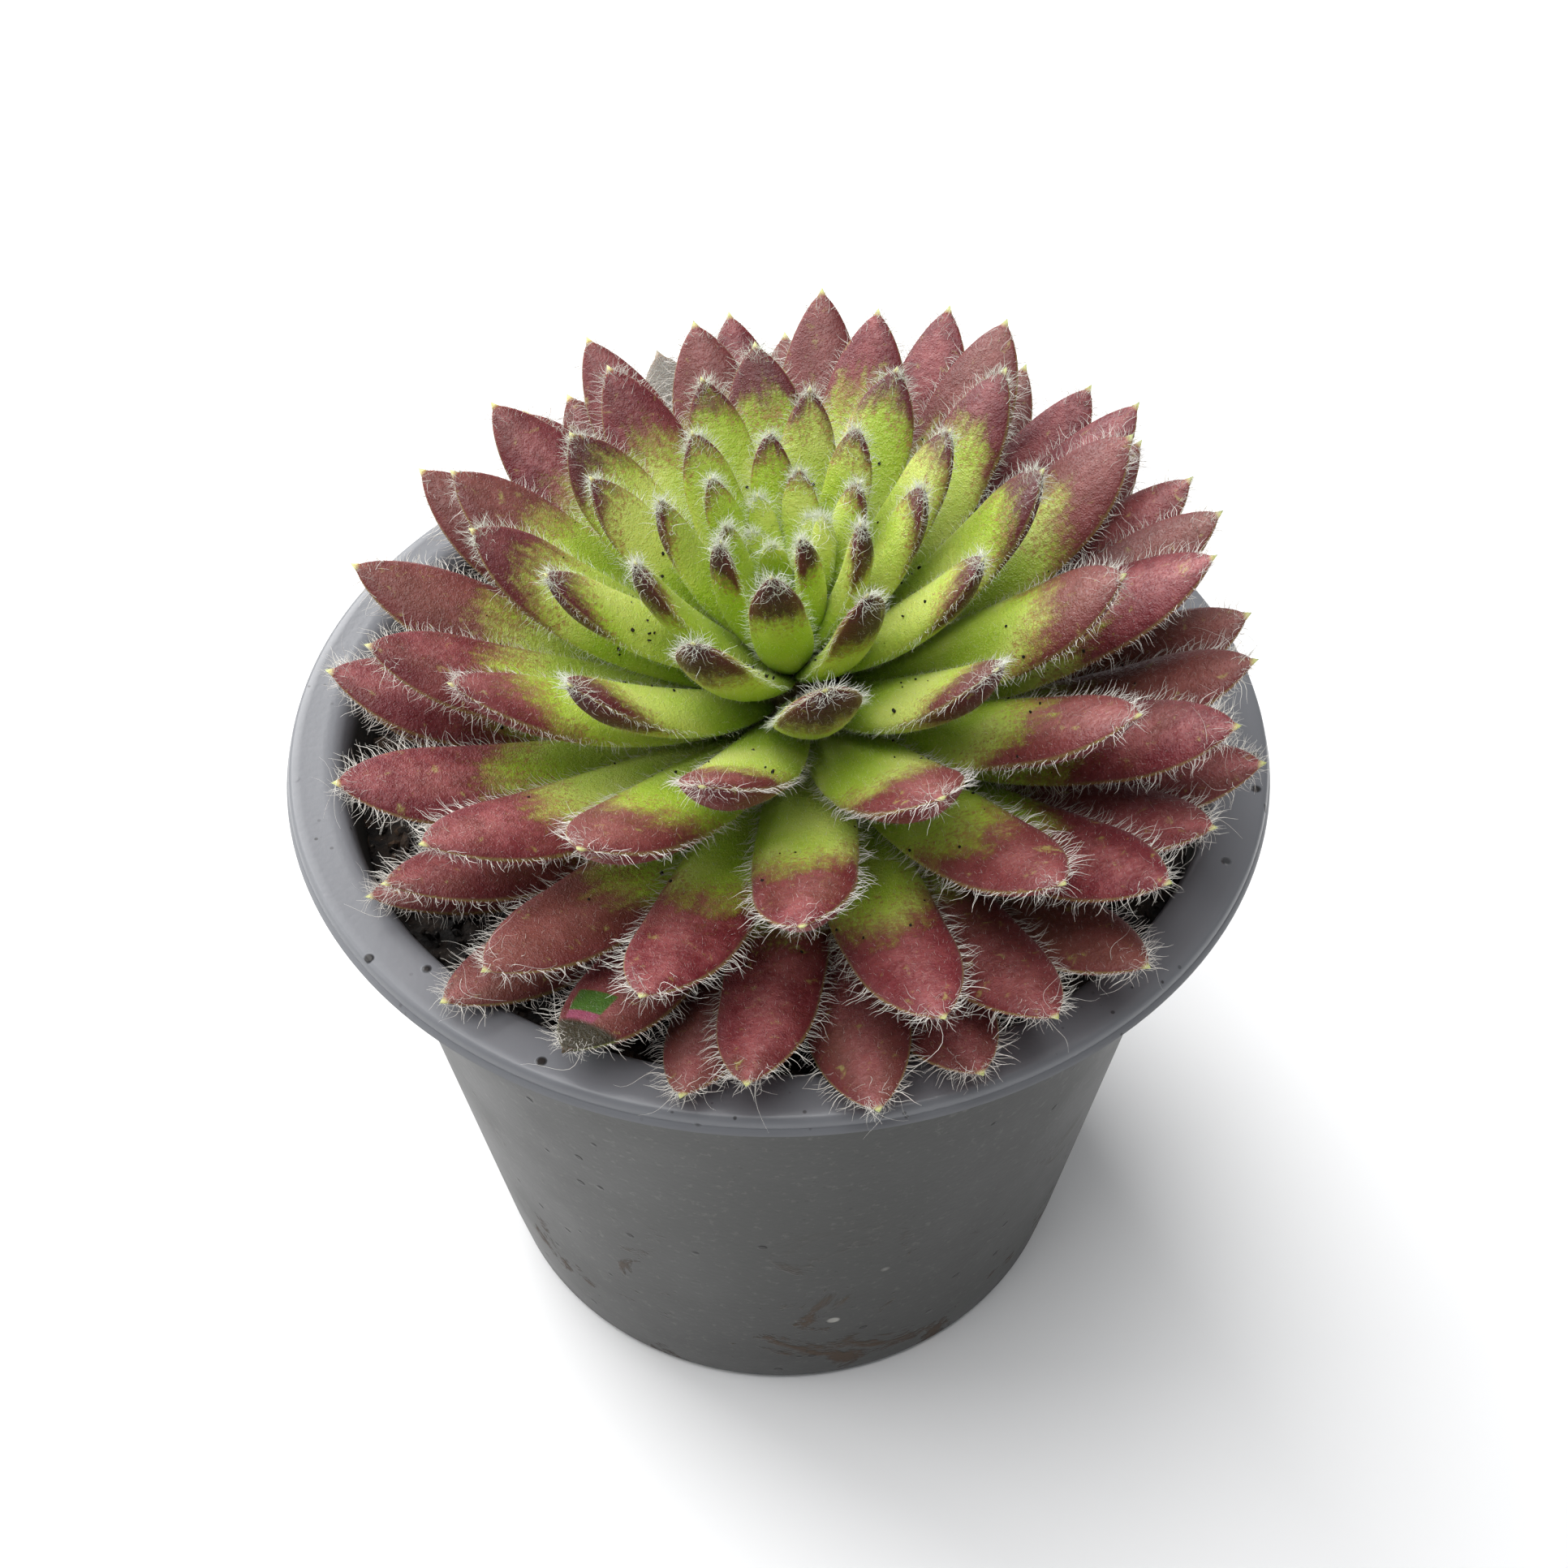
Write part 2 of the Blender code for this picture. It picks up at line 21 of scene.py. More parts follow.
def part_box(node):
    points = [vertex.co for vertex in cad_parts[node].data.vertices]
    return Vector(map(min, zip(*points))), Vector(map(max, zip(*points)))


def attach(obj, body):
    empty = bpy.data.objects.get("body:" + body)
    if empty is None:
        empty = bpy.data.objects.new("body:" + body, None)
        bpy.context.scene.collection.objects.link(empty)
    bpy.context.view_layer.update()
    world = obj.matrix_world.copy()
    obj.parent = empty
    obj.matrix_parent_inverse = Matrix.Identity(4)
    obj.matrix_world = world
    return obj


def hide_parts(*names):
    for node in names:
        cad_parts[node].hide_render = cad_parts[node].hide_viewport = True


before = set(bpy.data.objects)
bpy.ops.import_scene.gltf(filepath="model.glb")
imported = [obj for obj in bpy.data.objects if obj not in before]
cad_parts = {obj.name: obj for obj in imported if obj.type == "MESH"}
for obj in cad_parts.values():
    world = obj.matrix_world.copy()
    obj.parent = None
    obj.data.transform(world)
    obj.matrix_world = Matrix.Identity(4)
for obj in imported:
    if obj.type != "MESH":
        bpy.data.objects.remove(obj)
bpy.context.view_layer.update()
LOG = logging.getLogger("houseleek")

Color = tuple[float, float, float]


# ------------------------------------------------------------------ small helpers


def mix(start: float, end: float, share: float) -> float:
    """Blend two values."""
    return start + (end - start) * share


def clamp(value: float, low: float = 0.0, high: float = 1.0) -> float:
    """Keep a value between two limits."""
    return max(low, min(high, value))


def smooth(low: float, high: float, value: float) -> float:
    """Ease from 0 at low to 1 at high."""
    share = clamp((value - low) / (high - low))
    return share * share * (3.0 - 2.0 * share)


def new_object(name: str, mesh: bpy.types.Mesh) -> bpy.types.Object:
    """Link a mesh to the scene as a named object.

    Args:
        name: name of the piece, material or attribute.
        mesh: its mesh.

    Returns:
        The new object.
    """
    item = bpy.data.objects.new(name, mesh)
    bpy.context.scene.collection.objects.link(item)
    return item


def mesh_from(
    name: str,
    points: Sequence[Sequence[float]],
    faces: Sequence[Sequence[int]],
) -> bpy.types.Mesh:
    """Make smooth-shaded mesh data from points and faces.

    Args:
        name: name of the mesh.
        points: places of the vertices, in metres.
        faces: vertex numbers of each face.

    Returns:
        The new mesh.
    """
    mesh = bpy.data.meshes.new(name)
    mesh.from_pydata([tuple(point) for point in points], [], [tuple(face) for face in faces])
    mesh.update()
    if faces:
        mesh.shade_smooth()
    return mesh


def set_attribute(mesh: bpy.types.Mesh, name: str, values: Iterable[float]) -> None:
    """Store one number per vertex on a mesh."""
    layer = mesh.attributes.new(name, "FLOAT", "POINT")
    layer.data.foreach_set("value", np.asarray(list(values), dtype=np.float32))


def set_vectors(mesh: bpy.types.Mesh, name: str, values: np.ndarray) -> None:
    """Store one vector per vertex on a mesh."""
    layer = mesh.attributes.new(name, "FLOAT_VECTOR", "POINT")
    layer.data.foreach_set("vector", np.asarray(values, dtype=np.float32).ravel())


def finish_piece(item: bpy.types.Object, nodes: Sequence[str] = ()) -> bpy.types.Object:
    """Hand a finished piece over to the frame.

    Args:
        item: the piece, with its place in its mesh.
        nodes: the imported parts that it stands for.

    Returns:
        The same piece.
    """
    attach(item, "root")
    if nodes:
        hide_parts(*nodes)
    LOG.info("%s: %d faces", item.name, len(item.data.polygons))
    return item


def node_points(name: str) -> np.ndarray:
    """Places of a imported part's vertices.

    Args:
        name: name of the piece, material or attribute.

    Returns:
        One row of three coordinates for each vertex.
    """
    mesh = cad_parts[name].data
    points = np.empty(len(mesh.vertices) * 3, dtype=np.float64)
    mesh.vertices.foreach_get("co", points)
    return points.reshape(-1, 3)


def node_tree_of(name: str) -> BVHTree:
    """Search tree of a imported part's surface."""
    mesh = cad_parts[name].data
    return BVHTree.FromPolygons(
        [vertex.co.copy() for vertex in mesh.vertices],
        [tuple(face.vertices) for face in mesh.polygons],
    )


# ------------------------------------------------------------------ shader building


class Shader:
    """A material under construction, with short ways to add and join its nodes."""

    def __init__(self, name: str) -> None:
        """Start an empty material with a Principled shader and an output.

        Args:
            name: name of the piece, material or attribute.
        """
        self.material = bpy.data.materials.new(name)
        self.material.use_nodes = True
        self.tree = self.material.node_tree
        self.tree.nodes.clear()
        self.output = self.tree.nodes.new("ShaderNodeOutputMaterial")
        self.surface = self.tree.nodes.new("ShaderNodeBsdfPrincipled")
        self.join(self.surface.outputs[0], self.output.inputs["Surface"])

    def join(self, source: bpy.types.NodeSocket, target: bpy.types.NodeSocket) -> None:
        """Link two sockets."""
        self.tree.links.new(source, target)

    def feed(self, target: bpy.types.NodeSocket, value: object) -> None:
        """Give a socket a link, a number or a colour.

        Args:
            target: the socket to set.
            value: a link, number or colour.
        """
        if isinstance(value, bpy.types.NodeSocket):
            self.join(value, target)
        elif isinstance(value, tuple) and len(value) == 3 and target.type == "RGBA":
            target.default_value = (*value, 1.0)
        else:
            target.default_value = value

    def constants(self, **values: object) -> None:
        """Set plain values on the Principled shader, named with underscores for spaces."""
        for name, value in values.items():
            self.feed(self.surface.inputs[name.replace("_", " ").title().replace("Ior", "IOR")], value)

    def place(self) -> bpy.types.NodeSocket:
        """Object coordinates."""
        return self.tree.nodes.new("ShaderNodeTexCoord").outputs["Object"]

    def attribute(self, name: str) -> bpy.types.NodeSocket:
        """A number stored on the mesh.

        Args:
            name: name of the piece, material or attribute.

        Returns:
            The number's socket.
        """
        node = self.tree.nodes.new("ShaderNodeAttribute")
        node.attribute_name = name
        return node.outputs["Fac"]

    def noise(
        self, scale: float, detail: float = 3.0, rough: float = 0.55, warp: float = 0.0
    ) -> bpy.types.NodeSocket:
        """Noise on Object coordinates.

        Args:
            scale: patches per metre.
            detail: octaves.
            rough: strength of the finer octaves.
            warp: distortion.

        Returns:
            The noise's factor.
        """
        node = self.tree.nodes.new("ShaderNodeTexNoise")
        node.inputs["Scale"].default_value = scale
        node.inputs["Detail"].default_value = detail
        node.inputs["Roughness"].default_value = rough
        node.inputs["Distortion"].default_value = warp
        self.join(self.place(), node.inputs["Vector"])
        return node.outputs[0]

    def streaks(
        self, along: bpy.types.NodeSocket, side: bpy.types.NodeSocket, shift: bpy.types.NodeSocket
    ) -> bpy.types.NodeSocket:
        """Noise drawn out along a leaf, different on every leaf.

        Args:
            along: share of the leaf's length.
            side: place across the leaf, -1 to 1.
            shift: the leaf's own random number.

        Returns:
            The noise's factor.
        """
        place = self.tree.nodes.new("ShaderNodeCombineXYZ")
        self.feed(place.inputs["X"], self.math("MULTIPLY", side, 5.0))
        self.feed(place.inputs["Y"], self.math("MULTIPLY", along, 7.0))
        self.feed(place.inputs["Z"], self.math("MULTIPLY", shift, 60.0))
        node = self.tree.nodes.new("ShaderNodeTexNoise")
        node.inputs["Scale"].default_value = 1.0
        node.inputs["Detail"].default_value = 3.0
        node.inputs["Roughness"].default_value = 0.65
        self.join(place.outputs[0], node.inputs["Vector"])
        return node.outputs[0]

    def cells(self, scale: float) -> bpy.types.NodeSocket:
        """Distance from scattered points on Object coordinates.

        Args:
            scale: cells per metre.

        Returns:
            The distance's socket.
        """
        node = self.tree.nodes.new("ShaderNodeTexVoronoi")
        node.inputs["Scale"].default_value = scale
        self.join(self.place(), node.inputs["Vector"])
        return node.outputs["Distance"]

    def math(
        self, operation: str, first: object, second: object = 0.0, third: object = 0.0
    ) -> bpy.types.NodeSocket:
        """A Math node.

        Args:
            operation: its operation.
            first: first socket or number.
            second: second socket or number.
            third: third socket or number.

        Returns:
            The result.
        """
        node = self.tree.nodes.new("ShaderNodeMath")
        node.operation = operation
        self.feed(node.inputs[0], first)
        self.feed(node.inputs[1], second)
        self.feed(node.inputs[2], third)
        return node.outputs[0]

    def ease(
        self, value: object, low: object, high: object, to_low: float = 0.0, to_high: float = 1.0
    ) -> bpy.types.NodeSocket:
        """Smoothly map a range of a value to another range.

        Args:
            value: socket to map.
            low: start of the range.
            high: end of the range.
            to_low: result at the start.
            to_high: result at the end.

        Returns:
            The mapped value.
        """
        node = self.tree.nodes.new("ShaderNodeMapRange")
        node.interpolation_type = "SMOOTHSTEP"
        for socket, item in zip(node.inputs, (value, low, high, to_low, to_high)):
            self.feed(socket, item)
        return node.outputs[0]

    def blend(self, share: object, first: object, second: object) -> bpy.types.NodeSocket:
        """Mix two colours.

        Args:
            share: how much of the second.
            first: first colour.
            second: second colour.

        Returns:
            The mixed colour.
        """
        node = self.tree.nodes.new("ShaderNodeMix")
        node.data_type = "RGBA"
        self.feed(node.inputs[0], share)
        self.feed(node.inputs[6], first)
        self.feed(node.inputs[7], second)
        return node.outputs[2]

    def bump(self, height: bpy.types.NodeSocket, distance: float, strength: float = 1.0) -> None:
        """Add relief to the surface.

        Args:
            height: the relief, 0 to 1.
            distance: its depth in metres.
            strength: share of it that shows.
        """
        node = self.tree.nodes.new("ShaderNodeBump")
        node.inputs["Distance"].default_value = distance
        node.inputs["Strength"].default_value = strength
        self.join(height, node.inputs["Height"])
        old = self.surface.inputs["Normal"].links
        if old:
            self.join(old[0].from_socket, node.inputs["Normal"])
        self.join(node.outputs[0], self.surface.inputs["Normal"])


@dataclass(frozen=True)
class LeafFinish:
    """Velvety leaf: green at the foot, blushed burgundy beyond it, with a yellow-green point."""

    base_green: Color = (0.350, 0.500, 0.030)
    pale_green: Color = (0.540, 0.620, 0.140)
    deep_green: Color = (0.240, 0.380, 0.022)
    burgundy: Color = (0.120, 0.007, 0.013)
    dusty_pink: Color = (0.285, 0.072, 0.075)
    old_brown: Color = (0.165, 0.070, 0.050)
    # painted highlight: pale greyish pink laid in speckles along the middle of the blades
    painted_highlight_pink: Color = (0.420, 0.205, 0.195)
    olive: Color = (0.105, 0.050, 0.020)
    tan: Color = (0.360, 0.220, 0.060)
    dark_cap: Color = (0.034, 0.0030, 0.0034)
    point: Color = (0.500, 0.540, 0.220)
    withered: Color = (0.215, 0.200, 0.170)
    wound_green: Color = (0.060, 0.135, 0.018)
    wound_pink: Color = (0.300, 0.075, 0.125)
    wound_dark: Color = (0.032, 0.026, 0.012)

    def grain_color(self, made: Shader, mask: bpy.types.NodeSocket) -> bpy.types.NodeSocket:
        """Colour of the tiny papillae: paler than the skin under them.

        Args:
            made: the material under construction.
            mask: where the blush is.

        Returns:
            The papillae's colour.
        """
        return made.blend(mask, self.pale_green, self.dusty_pink)

    def damage(
        self,
        made: Shader,
        color: bpy.types.NodeSocket,
        along: bpy.types.NodeSocket,
        side: bpy.types.NodeSocket,
    ) -> bpy.types.NodeSocket:
        """Add the withered leaf's grey and the torn leaf's patches.

        Args:
            made: the material under construction.
            color: the sound leaf's colour.
            along: share of the leaf's length.
            side: place across the leaf, -1 to 1.

        Returns:
            The colour with the damage.
        """
        dry = made.math("MULTIPLY", made.attribute("dry"), made.ease(along, 0.30, 0.62))
        color = made.blend(dry, color, self.withered)
        scar = made.attribute("scar")
        inside = made.math("MULTIPLY", scar, made.ease(side, -0.80, -0.72))
        inside = made.math("MULTIPLY", inside, made.ease(side, 0.16, 0.08))
        patch = made.math("MULTIPLY", made.ease(along, 0.808, 0.816), made.ease(along, 0.888, 0.880))
        color = made.blend(made.math("MULTIPLY", inside, patch), color, self.wound_green)
        strip = made.math("MULTIPLY", made.ease(along, 0.880, 0.888), made.ease(along, 0.922, 0.906))
        color = made.blend(made.math("MULTIPLY", inside, strip), color, self.wound_pink)
        tip = made.math("MULTIPLY", scar, made.ease(along, 0.905, 0.925))
        return made.blend(tip, color, self.wound_dark)

    def build(self, name: str) -> bpy.types.Material:
        """Make the material from the attributes stored on each leaf.

        Args:
            name: name of the piece, material or attribute.

        Returns:
            The material.
        """
        made = Shader(name)
        along = made.attribute("along")
        side = made.attribute("side")
        under = made.attribute("under")
        blush = made.attribute("blush")
        youth = made.attribute("youth")
        tone = made.attribute("tone")
        patchy = made.noise(330.0, 4.0, 0.65)
        speckle = made.noise(2600.0, 3.0, 0.75)
        fine = made.noise(5200.0, 2.0, 0.6)
        broad = made.noise(110.0, 2.0, 0.5)
        edge = made.math("POWER", made.math("ABSOLUTE", side), 2.5)
        # the blush begins at its own share of each leaf, earlier along the margins
        front = made.math("ADD", along, made.math("MULTIPLY", edge, 0.10))
        front = made.math("ADD", front, made.math("MULTIPLY_ADD", patchy, 0.22, -0.11))
        front = made.math("ADD", front, made.math("MULTIPLY_ADD", speckle, 0.26, -0.13))
        streak = made.streaks(along, side, tone)
        front = made.math("ADD", front, made.math("MULTIPLY_ADD", streak, 0.17, -0.085))
        front = made.math("SUBTRACT", front, blush)
        # young leaves colour on their outer face first
        inner = made.math("MULTIPLY", youth, made.math("SUBTRACT", 1.0, under))
        front = made.math("SUBTRACT", front, made.math("MULTIPLY", inner, 0.13))
        mask = made.ease(front, -0.095, 0.110)
        seam = made.math("MULTIPLY", made.ease(front, -0.09, 0.0), made.ease(front, 0.13, 0.02))
        green = made.blend(made.ease(broad, 0.35, 0.70), self.base_green, self.pale_green)
        green = made.blend(made.ease(fine, 0.50, 0.72), green, self.pale_green)
        green = made.blend(made.ease(along, 0.32, 0.0), green, self.deep_green)
        red = made.blend(made.ease(patchy, 0.40, 0.72, 0.0, 0.85), self.burgundy, self.dusty_pink)
        red = made.blend(made.math("MULTIPLY", made.ease(speckle, 0.52, 0.68), 0.42), red, self.dusty_pink)
        red = made.blend(made.math("MULTIPLY", made.ease(broad, 0.50, 0.75), 0.45), red, self.olive)
        red = made.blend(made.math("MULTIPLY", tone, 0.30), red, self.dusty_pink)
        outer_face = made.math("MULTIPLY_ADD", under, 0.35, 0.65)
        caps = made.math("MULTIPLY", made.ease(youth, 0.35, 0.85), outer_face)
        old = made.math("MULTIPLY", made.attribute("elder"), made.ease(broad, 0.30, 0.65, 0.25, 0.85))
        red = made.blend(old, red, self.old_brown)
        # painted highlight: the middle of each blade beyond the blush's start is blended towards pale pink,
        # standing in for the soft sheen along it
        ridge = made.ease(made.math("ABSOLUTE", side), 0.70, 0.10)
        ridge = made.math("MULTIPLY", ridge, made.ease(front, 0.04, 0.22, 0.25, 1.0))
        painted_ridge_highlight = made.math("MULTIPLY", ridge, made.ease(patchy, 0.30, 0.65, 0.15, 0.65))
        red = made.blend(painted_ridge_highlight, red, self.dusty_pink)
        # painted highlight: speckles of pale greyish pink along the middle of the blade, standing in for its
        # sheen
        painted_speckled_highlight = made.math("MULTIPLY", ridge, made.ease(made.noise(1900.0, 4.0, 0.8), 0.44, 0.66))
        red = made.blend(made.math("MULTIPLY", painted_speckled_highlight, 0.40), red, self.painted_highlight_pink)
        red = made.blend(made.ease(tone, 0.72, 0.95, 0.0, 0.40), red, self.olive)
        red = made.blend(caps, red, self.dark_cap)
        red = made.blend(made.math("MULTIPLY", edge, 0.55), red, self.burgundy)
        color = made.blend(mask, green, red)
        color = made.blend(made.math("MULTIPLY", seam, made.ease(speckle, 0.50, 0.62)), color, self.tan)
        # bare green patches break up the blush; the pale pink along the middle above is painted highlight
        worn = made.math("MULTIPLY", made.ease(made.noise(620.0, 3.0, 0.7, 0.4), 0.60, 0.74), 0.28)
        color = made.blend(worn, color, self.pale_green)
        # fine velvety grain
        grain = made.cells(4300.0)
        papillae = made.math("MULTIPLY", made.ease(grain, 0.42, 0.12), 0.22)
        color = made.blend(papillae, color, self.grain_color(made, mask))
        color = made.blend(made.ease(along, 0.991, 0.998), color, self.point)
        color = self.damage(made, color, along, side)
        rim = made.math("MULTIPLY", made.ease(made.math("ABSOLUTE", side), 0.96, 1.0), 0.22)
        color = made.blend(rim, color, self.pale_green)
        made.join(color, made.surface.inputs["Base Color"])
        gloss = made.ease(speckle, 0.3, 0.7, 0.40, 0.56)
        made.join(gloss, made.surface.inputs["Roughness"])
        made.constants(sheen_weight=0.02, sheen_roughness=0.42, sheen_tint=(0.95, 0.86, 0.84))
        made.constants(specular_ior_level=0.48, subsurface_weight=0.30, subsurface_scale=0.0022)
        made.surface.inputs["Subsurface Radius"].default_value = (1.0, 0.55, 0.25)
        made.bump(made.noise(1500.0, 2.0, 0.6), 0.00022, 0.75)
        made.bump(made.ease(grain, 0.5, 0.1), 0.00007, 0.7)
        return made.material


@dataclass(frozen=True)
class HairFinish:
    """Pale, faintly glossy plant hair."""

    color: Color
    roughness: float = 0.45

    def build(self, name: str) -> bpy.types.Material:
        """Make the plain hair material.

        Args:
            name: name of the piece, material or attribute.

        Returns:
            The material.
        """
        made = Shader(name)
        shaded = tuple(0.82 * part for part in self.color)
        shade = made.blend(made.ease(made.noise(900.0, 1.0), 0.35, 0.65), self.color, shaded)
        made.join(shade, made.surface.inputs["Base Color"])
        made.constants(roughness=self.roughness, specular_ior_level=0.45)
        return made.material


@dataclass(frozen=True)
class PlasticFinish:
    """Moulded grey plastic with dust, dried soil splashes and fine scuffs."""

    body: Color = (0.022, 0.0223, 0.0200)
    pale: Color = (0.033, 0.0334, 0.0305)
    # painted highlight: a lighter colour for the rim's top, standing in for light falling on it from above
    rim_painted_light: Color = (0.155, 0.160, 0.173)
    soil_stain: Color = (0.078, 0.047, 0.027)
    speck: Color = (0.012, 0.010, 0.009)
    chalk: Color = (0.330, 0.320, 0.290)
    dust: Color = (0.30, 0.29, 0.27)

    def scattered(
        self, made: Shader, scale: float, size: tuple[float, float], patch: float, spread: tuple[float, float]
    ) -> bpy.types.NodeSocket:
        """Spots that gather in patches.

        Args:
            made: the material under construction.
            scale: spots per metre.
            size: outer and inner edge of a spot, as shares of their distance.
            patch: patches per metre.
            spread: range over which the patches fade in.

        Returns:
            Where the spots are, 0 to 1.
        """
        dots = made.ease(made.cells(scale), *size)
        return made.math("MULTIPLY", dots, made.ease(made.noise(patch, 2.0), *spread))

    def build(self, name: str) -> bpy.types.Material:
        """Make the pot's material.

        Args:
            name: name of the piece, material or attribute.

        Returns:
            The material.
        """
        made = Shader(name)
        cloud = made.noise(38.0, 4.0, 0.6)
        color = made.blend(made.ease(cloud, 0.35, 0.70), self.body, self.pale)
        dust = made.math("MULTIPLY", made.ease(made.noise(900.0, 3.0, 0.7), 0.55, 0.75), 0.16)
        color = made.blend(dust, color, self.dust)
        height = made.attribute("height")
        # painted highlight: the rim's top is coloured lighter than the same plastic below it
        color = made.blend(made.ease(height, 0.955, 0.985), color, self.rim_painted_light)
        low = made.ease(height, 0.62, 0.18)
        smudge = made.math("MULTIPLY", made.ease(made.noise(75.0, 5.0, 0.72, 0.6), 0.56, 0.66), low)
        color = made.blend(made.math("MULTIPLY", smudge, 0.75), color, self.soil_stain)
        spots = self.scattered(made, 210.0, (0.13, 0.07), 46.0, (0.45, 0.56))
        color = made.blend(spots, color, self.speck)
        tiny = self.scattered(made, 620.0, (0.16, 0.09), 60.0, (0.46, 0.60))
        color = made.blend(made.math("MULTIPLY", tiny, 0.8), color, self.speck)
        chalk = self.scattered(made, 88.0, (0.085, 0.05), 33.0, (0.56, 0.62))
        color = made.blend(made.math("MULTIPLY", chalk, low), color, self.chalk)
        made.join(color, made.surface.inputs["Base Color"])
        rough = made.ease(cloud, 0.3, 0.7, 0.38, 0.50)
        rough = made.math("SUBTRACT", rough, made.ease(height, 0.955, 0.985, 0.0, 0.10))
        rough = made.math("ADD", rough, made.math("MULTIPLY", smudge, 0.35))
        made.join(rough, made.surface.inputs["Roughness"])
        made.constants(specular_ior_level=0.40)
        made.bump(made.noise(1400.0, 2.0, 0.5), 0.00004, 0.5)
        made.bump(made.math("ADD", smudge, spots), 0.00025, 0.8)
        return made.material


@dataclass(frozen=True)
class SoilFinish:
    """Near-black potting soil with brown fibres and pale grains."""

    dark: Color = (0.006, 0.005, 0.0045)
    brown: Color = (0.030, 0.019, 0.012)
    pale: Color = (0.22, 0.19, 0.15)

    def build(self, name: str) -> bpy.types.Material:
        """Make the soil's material.

        Args:
            name: name of the piece, material or attribute.

        Returns:
            The material.
        """
        made = Shader(name)
        color = made.blend(made.ease(made.noise(420.0, 4.0, 0.7), 0.40, 0.68), self.dark, self.brown)
        grains = made.ease(made.noise(1700.0, 2.0, 0.6), 0.66, 0.76)
        color = made.blend(made.math("MULTIPLY", grains, 0.55), color, self.pale)
        made.join(color, made.surface.inputs["Base Color"])
        made.join(made.ease(made.noise(800.0), 0.3, 0.7, 0.72, 0.95), made.surface.inputs["Roughness"])
        made.constants(specular_ior_level=0.35)
        made.bump(made.noise(1100.0, 5.0, 0.7), 0.0006, 1.0)
        return made.material


@dataclass(frozen=True)
class WitheredFinish:
    """Dry papery leaf, brown with grey bloom and darker veins."""

    light: Color
    dark: Color

    def build(self, name: str) -> bpy.types.Material:
        """Make the withered leaf's material.

        Args:
            name: name of the piece, material or attribute.

        Returns:
            The material.
        """
        made = Shader(name)
        color = made.blend(made.ease(made.noise(260.0, 4.0, 0.65), 0.35, 0.68), self.dark, self.light)
        streak = made.noise(900.0, 3.0, 0.7, 0.5)
        color = made.blend(made.math("MULTIPLY", made.ease(streak, 0.52, 0.72), 0.5), color, self.dark)
        made.join(color, made.surface.inputs["Base Color"])
        made.join(made.ease(streak, 0.3, 0.7, 0.62, 0.85), made.surface.inputs["Roughness"])
        made.constants(sheen_weight=0.12, sheen_roughness=0.5, specular_ior_level=0.3)
        made.bump(streak, 0.0003, 0.8)
        return made.material


@dataclass(frozen=True)
class FloorFinish:
    """Plain pale studio floor."""

    color: Color = (0.90, 0.90, 0.90)

    def build(self, name: str) -> bpy.types.Material:
        """Make the floor's material, with a very faint mottling.

        Args:
            name: name of the piece, material or attribute.

        Returns:
            The material.
        """
        made = Shader(name)
        shaded = tuple(0.985 * part for part in self.color)
        color = made.blend(made.noise(9.0), self.color, shaded)
        made.join(color, made.surface.inputs["Base Color"])
        made.constants(roughness=0.85, specular_ior_level=0.2)
        return made.material


# ------------------------------------------------------------------ geometry nodes


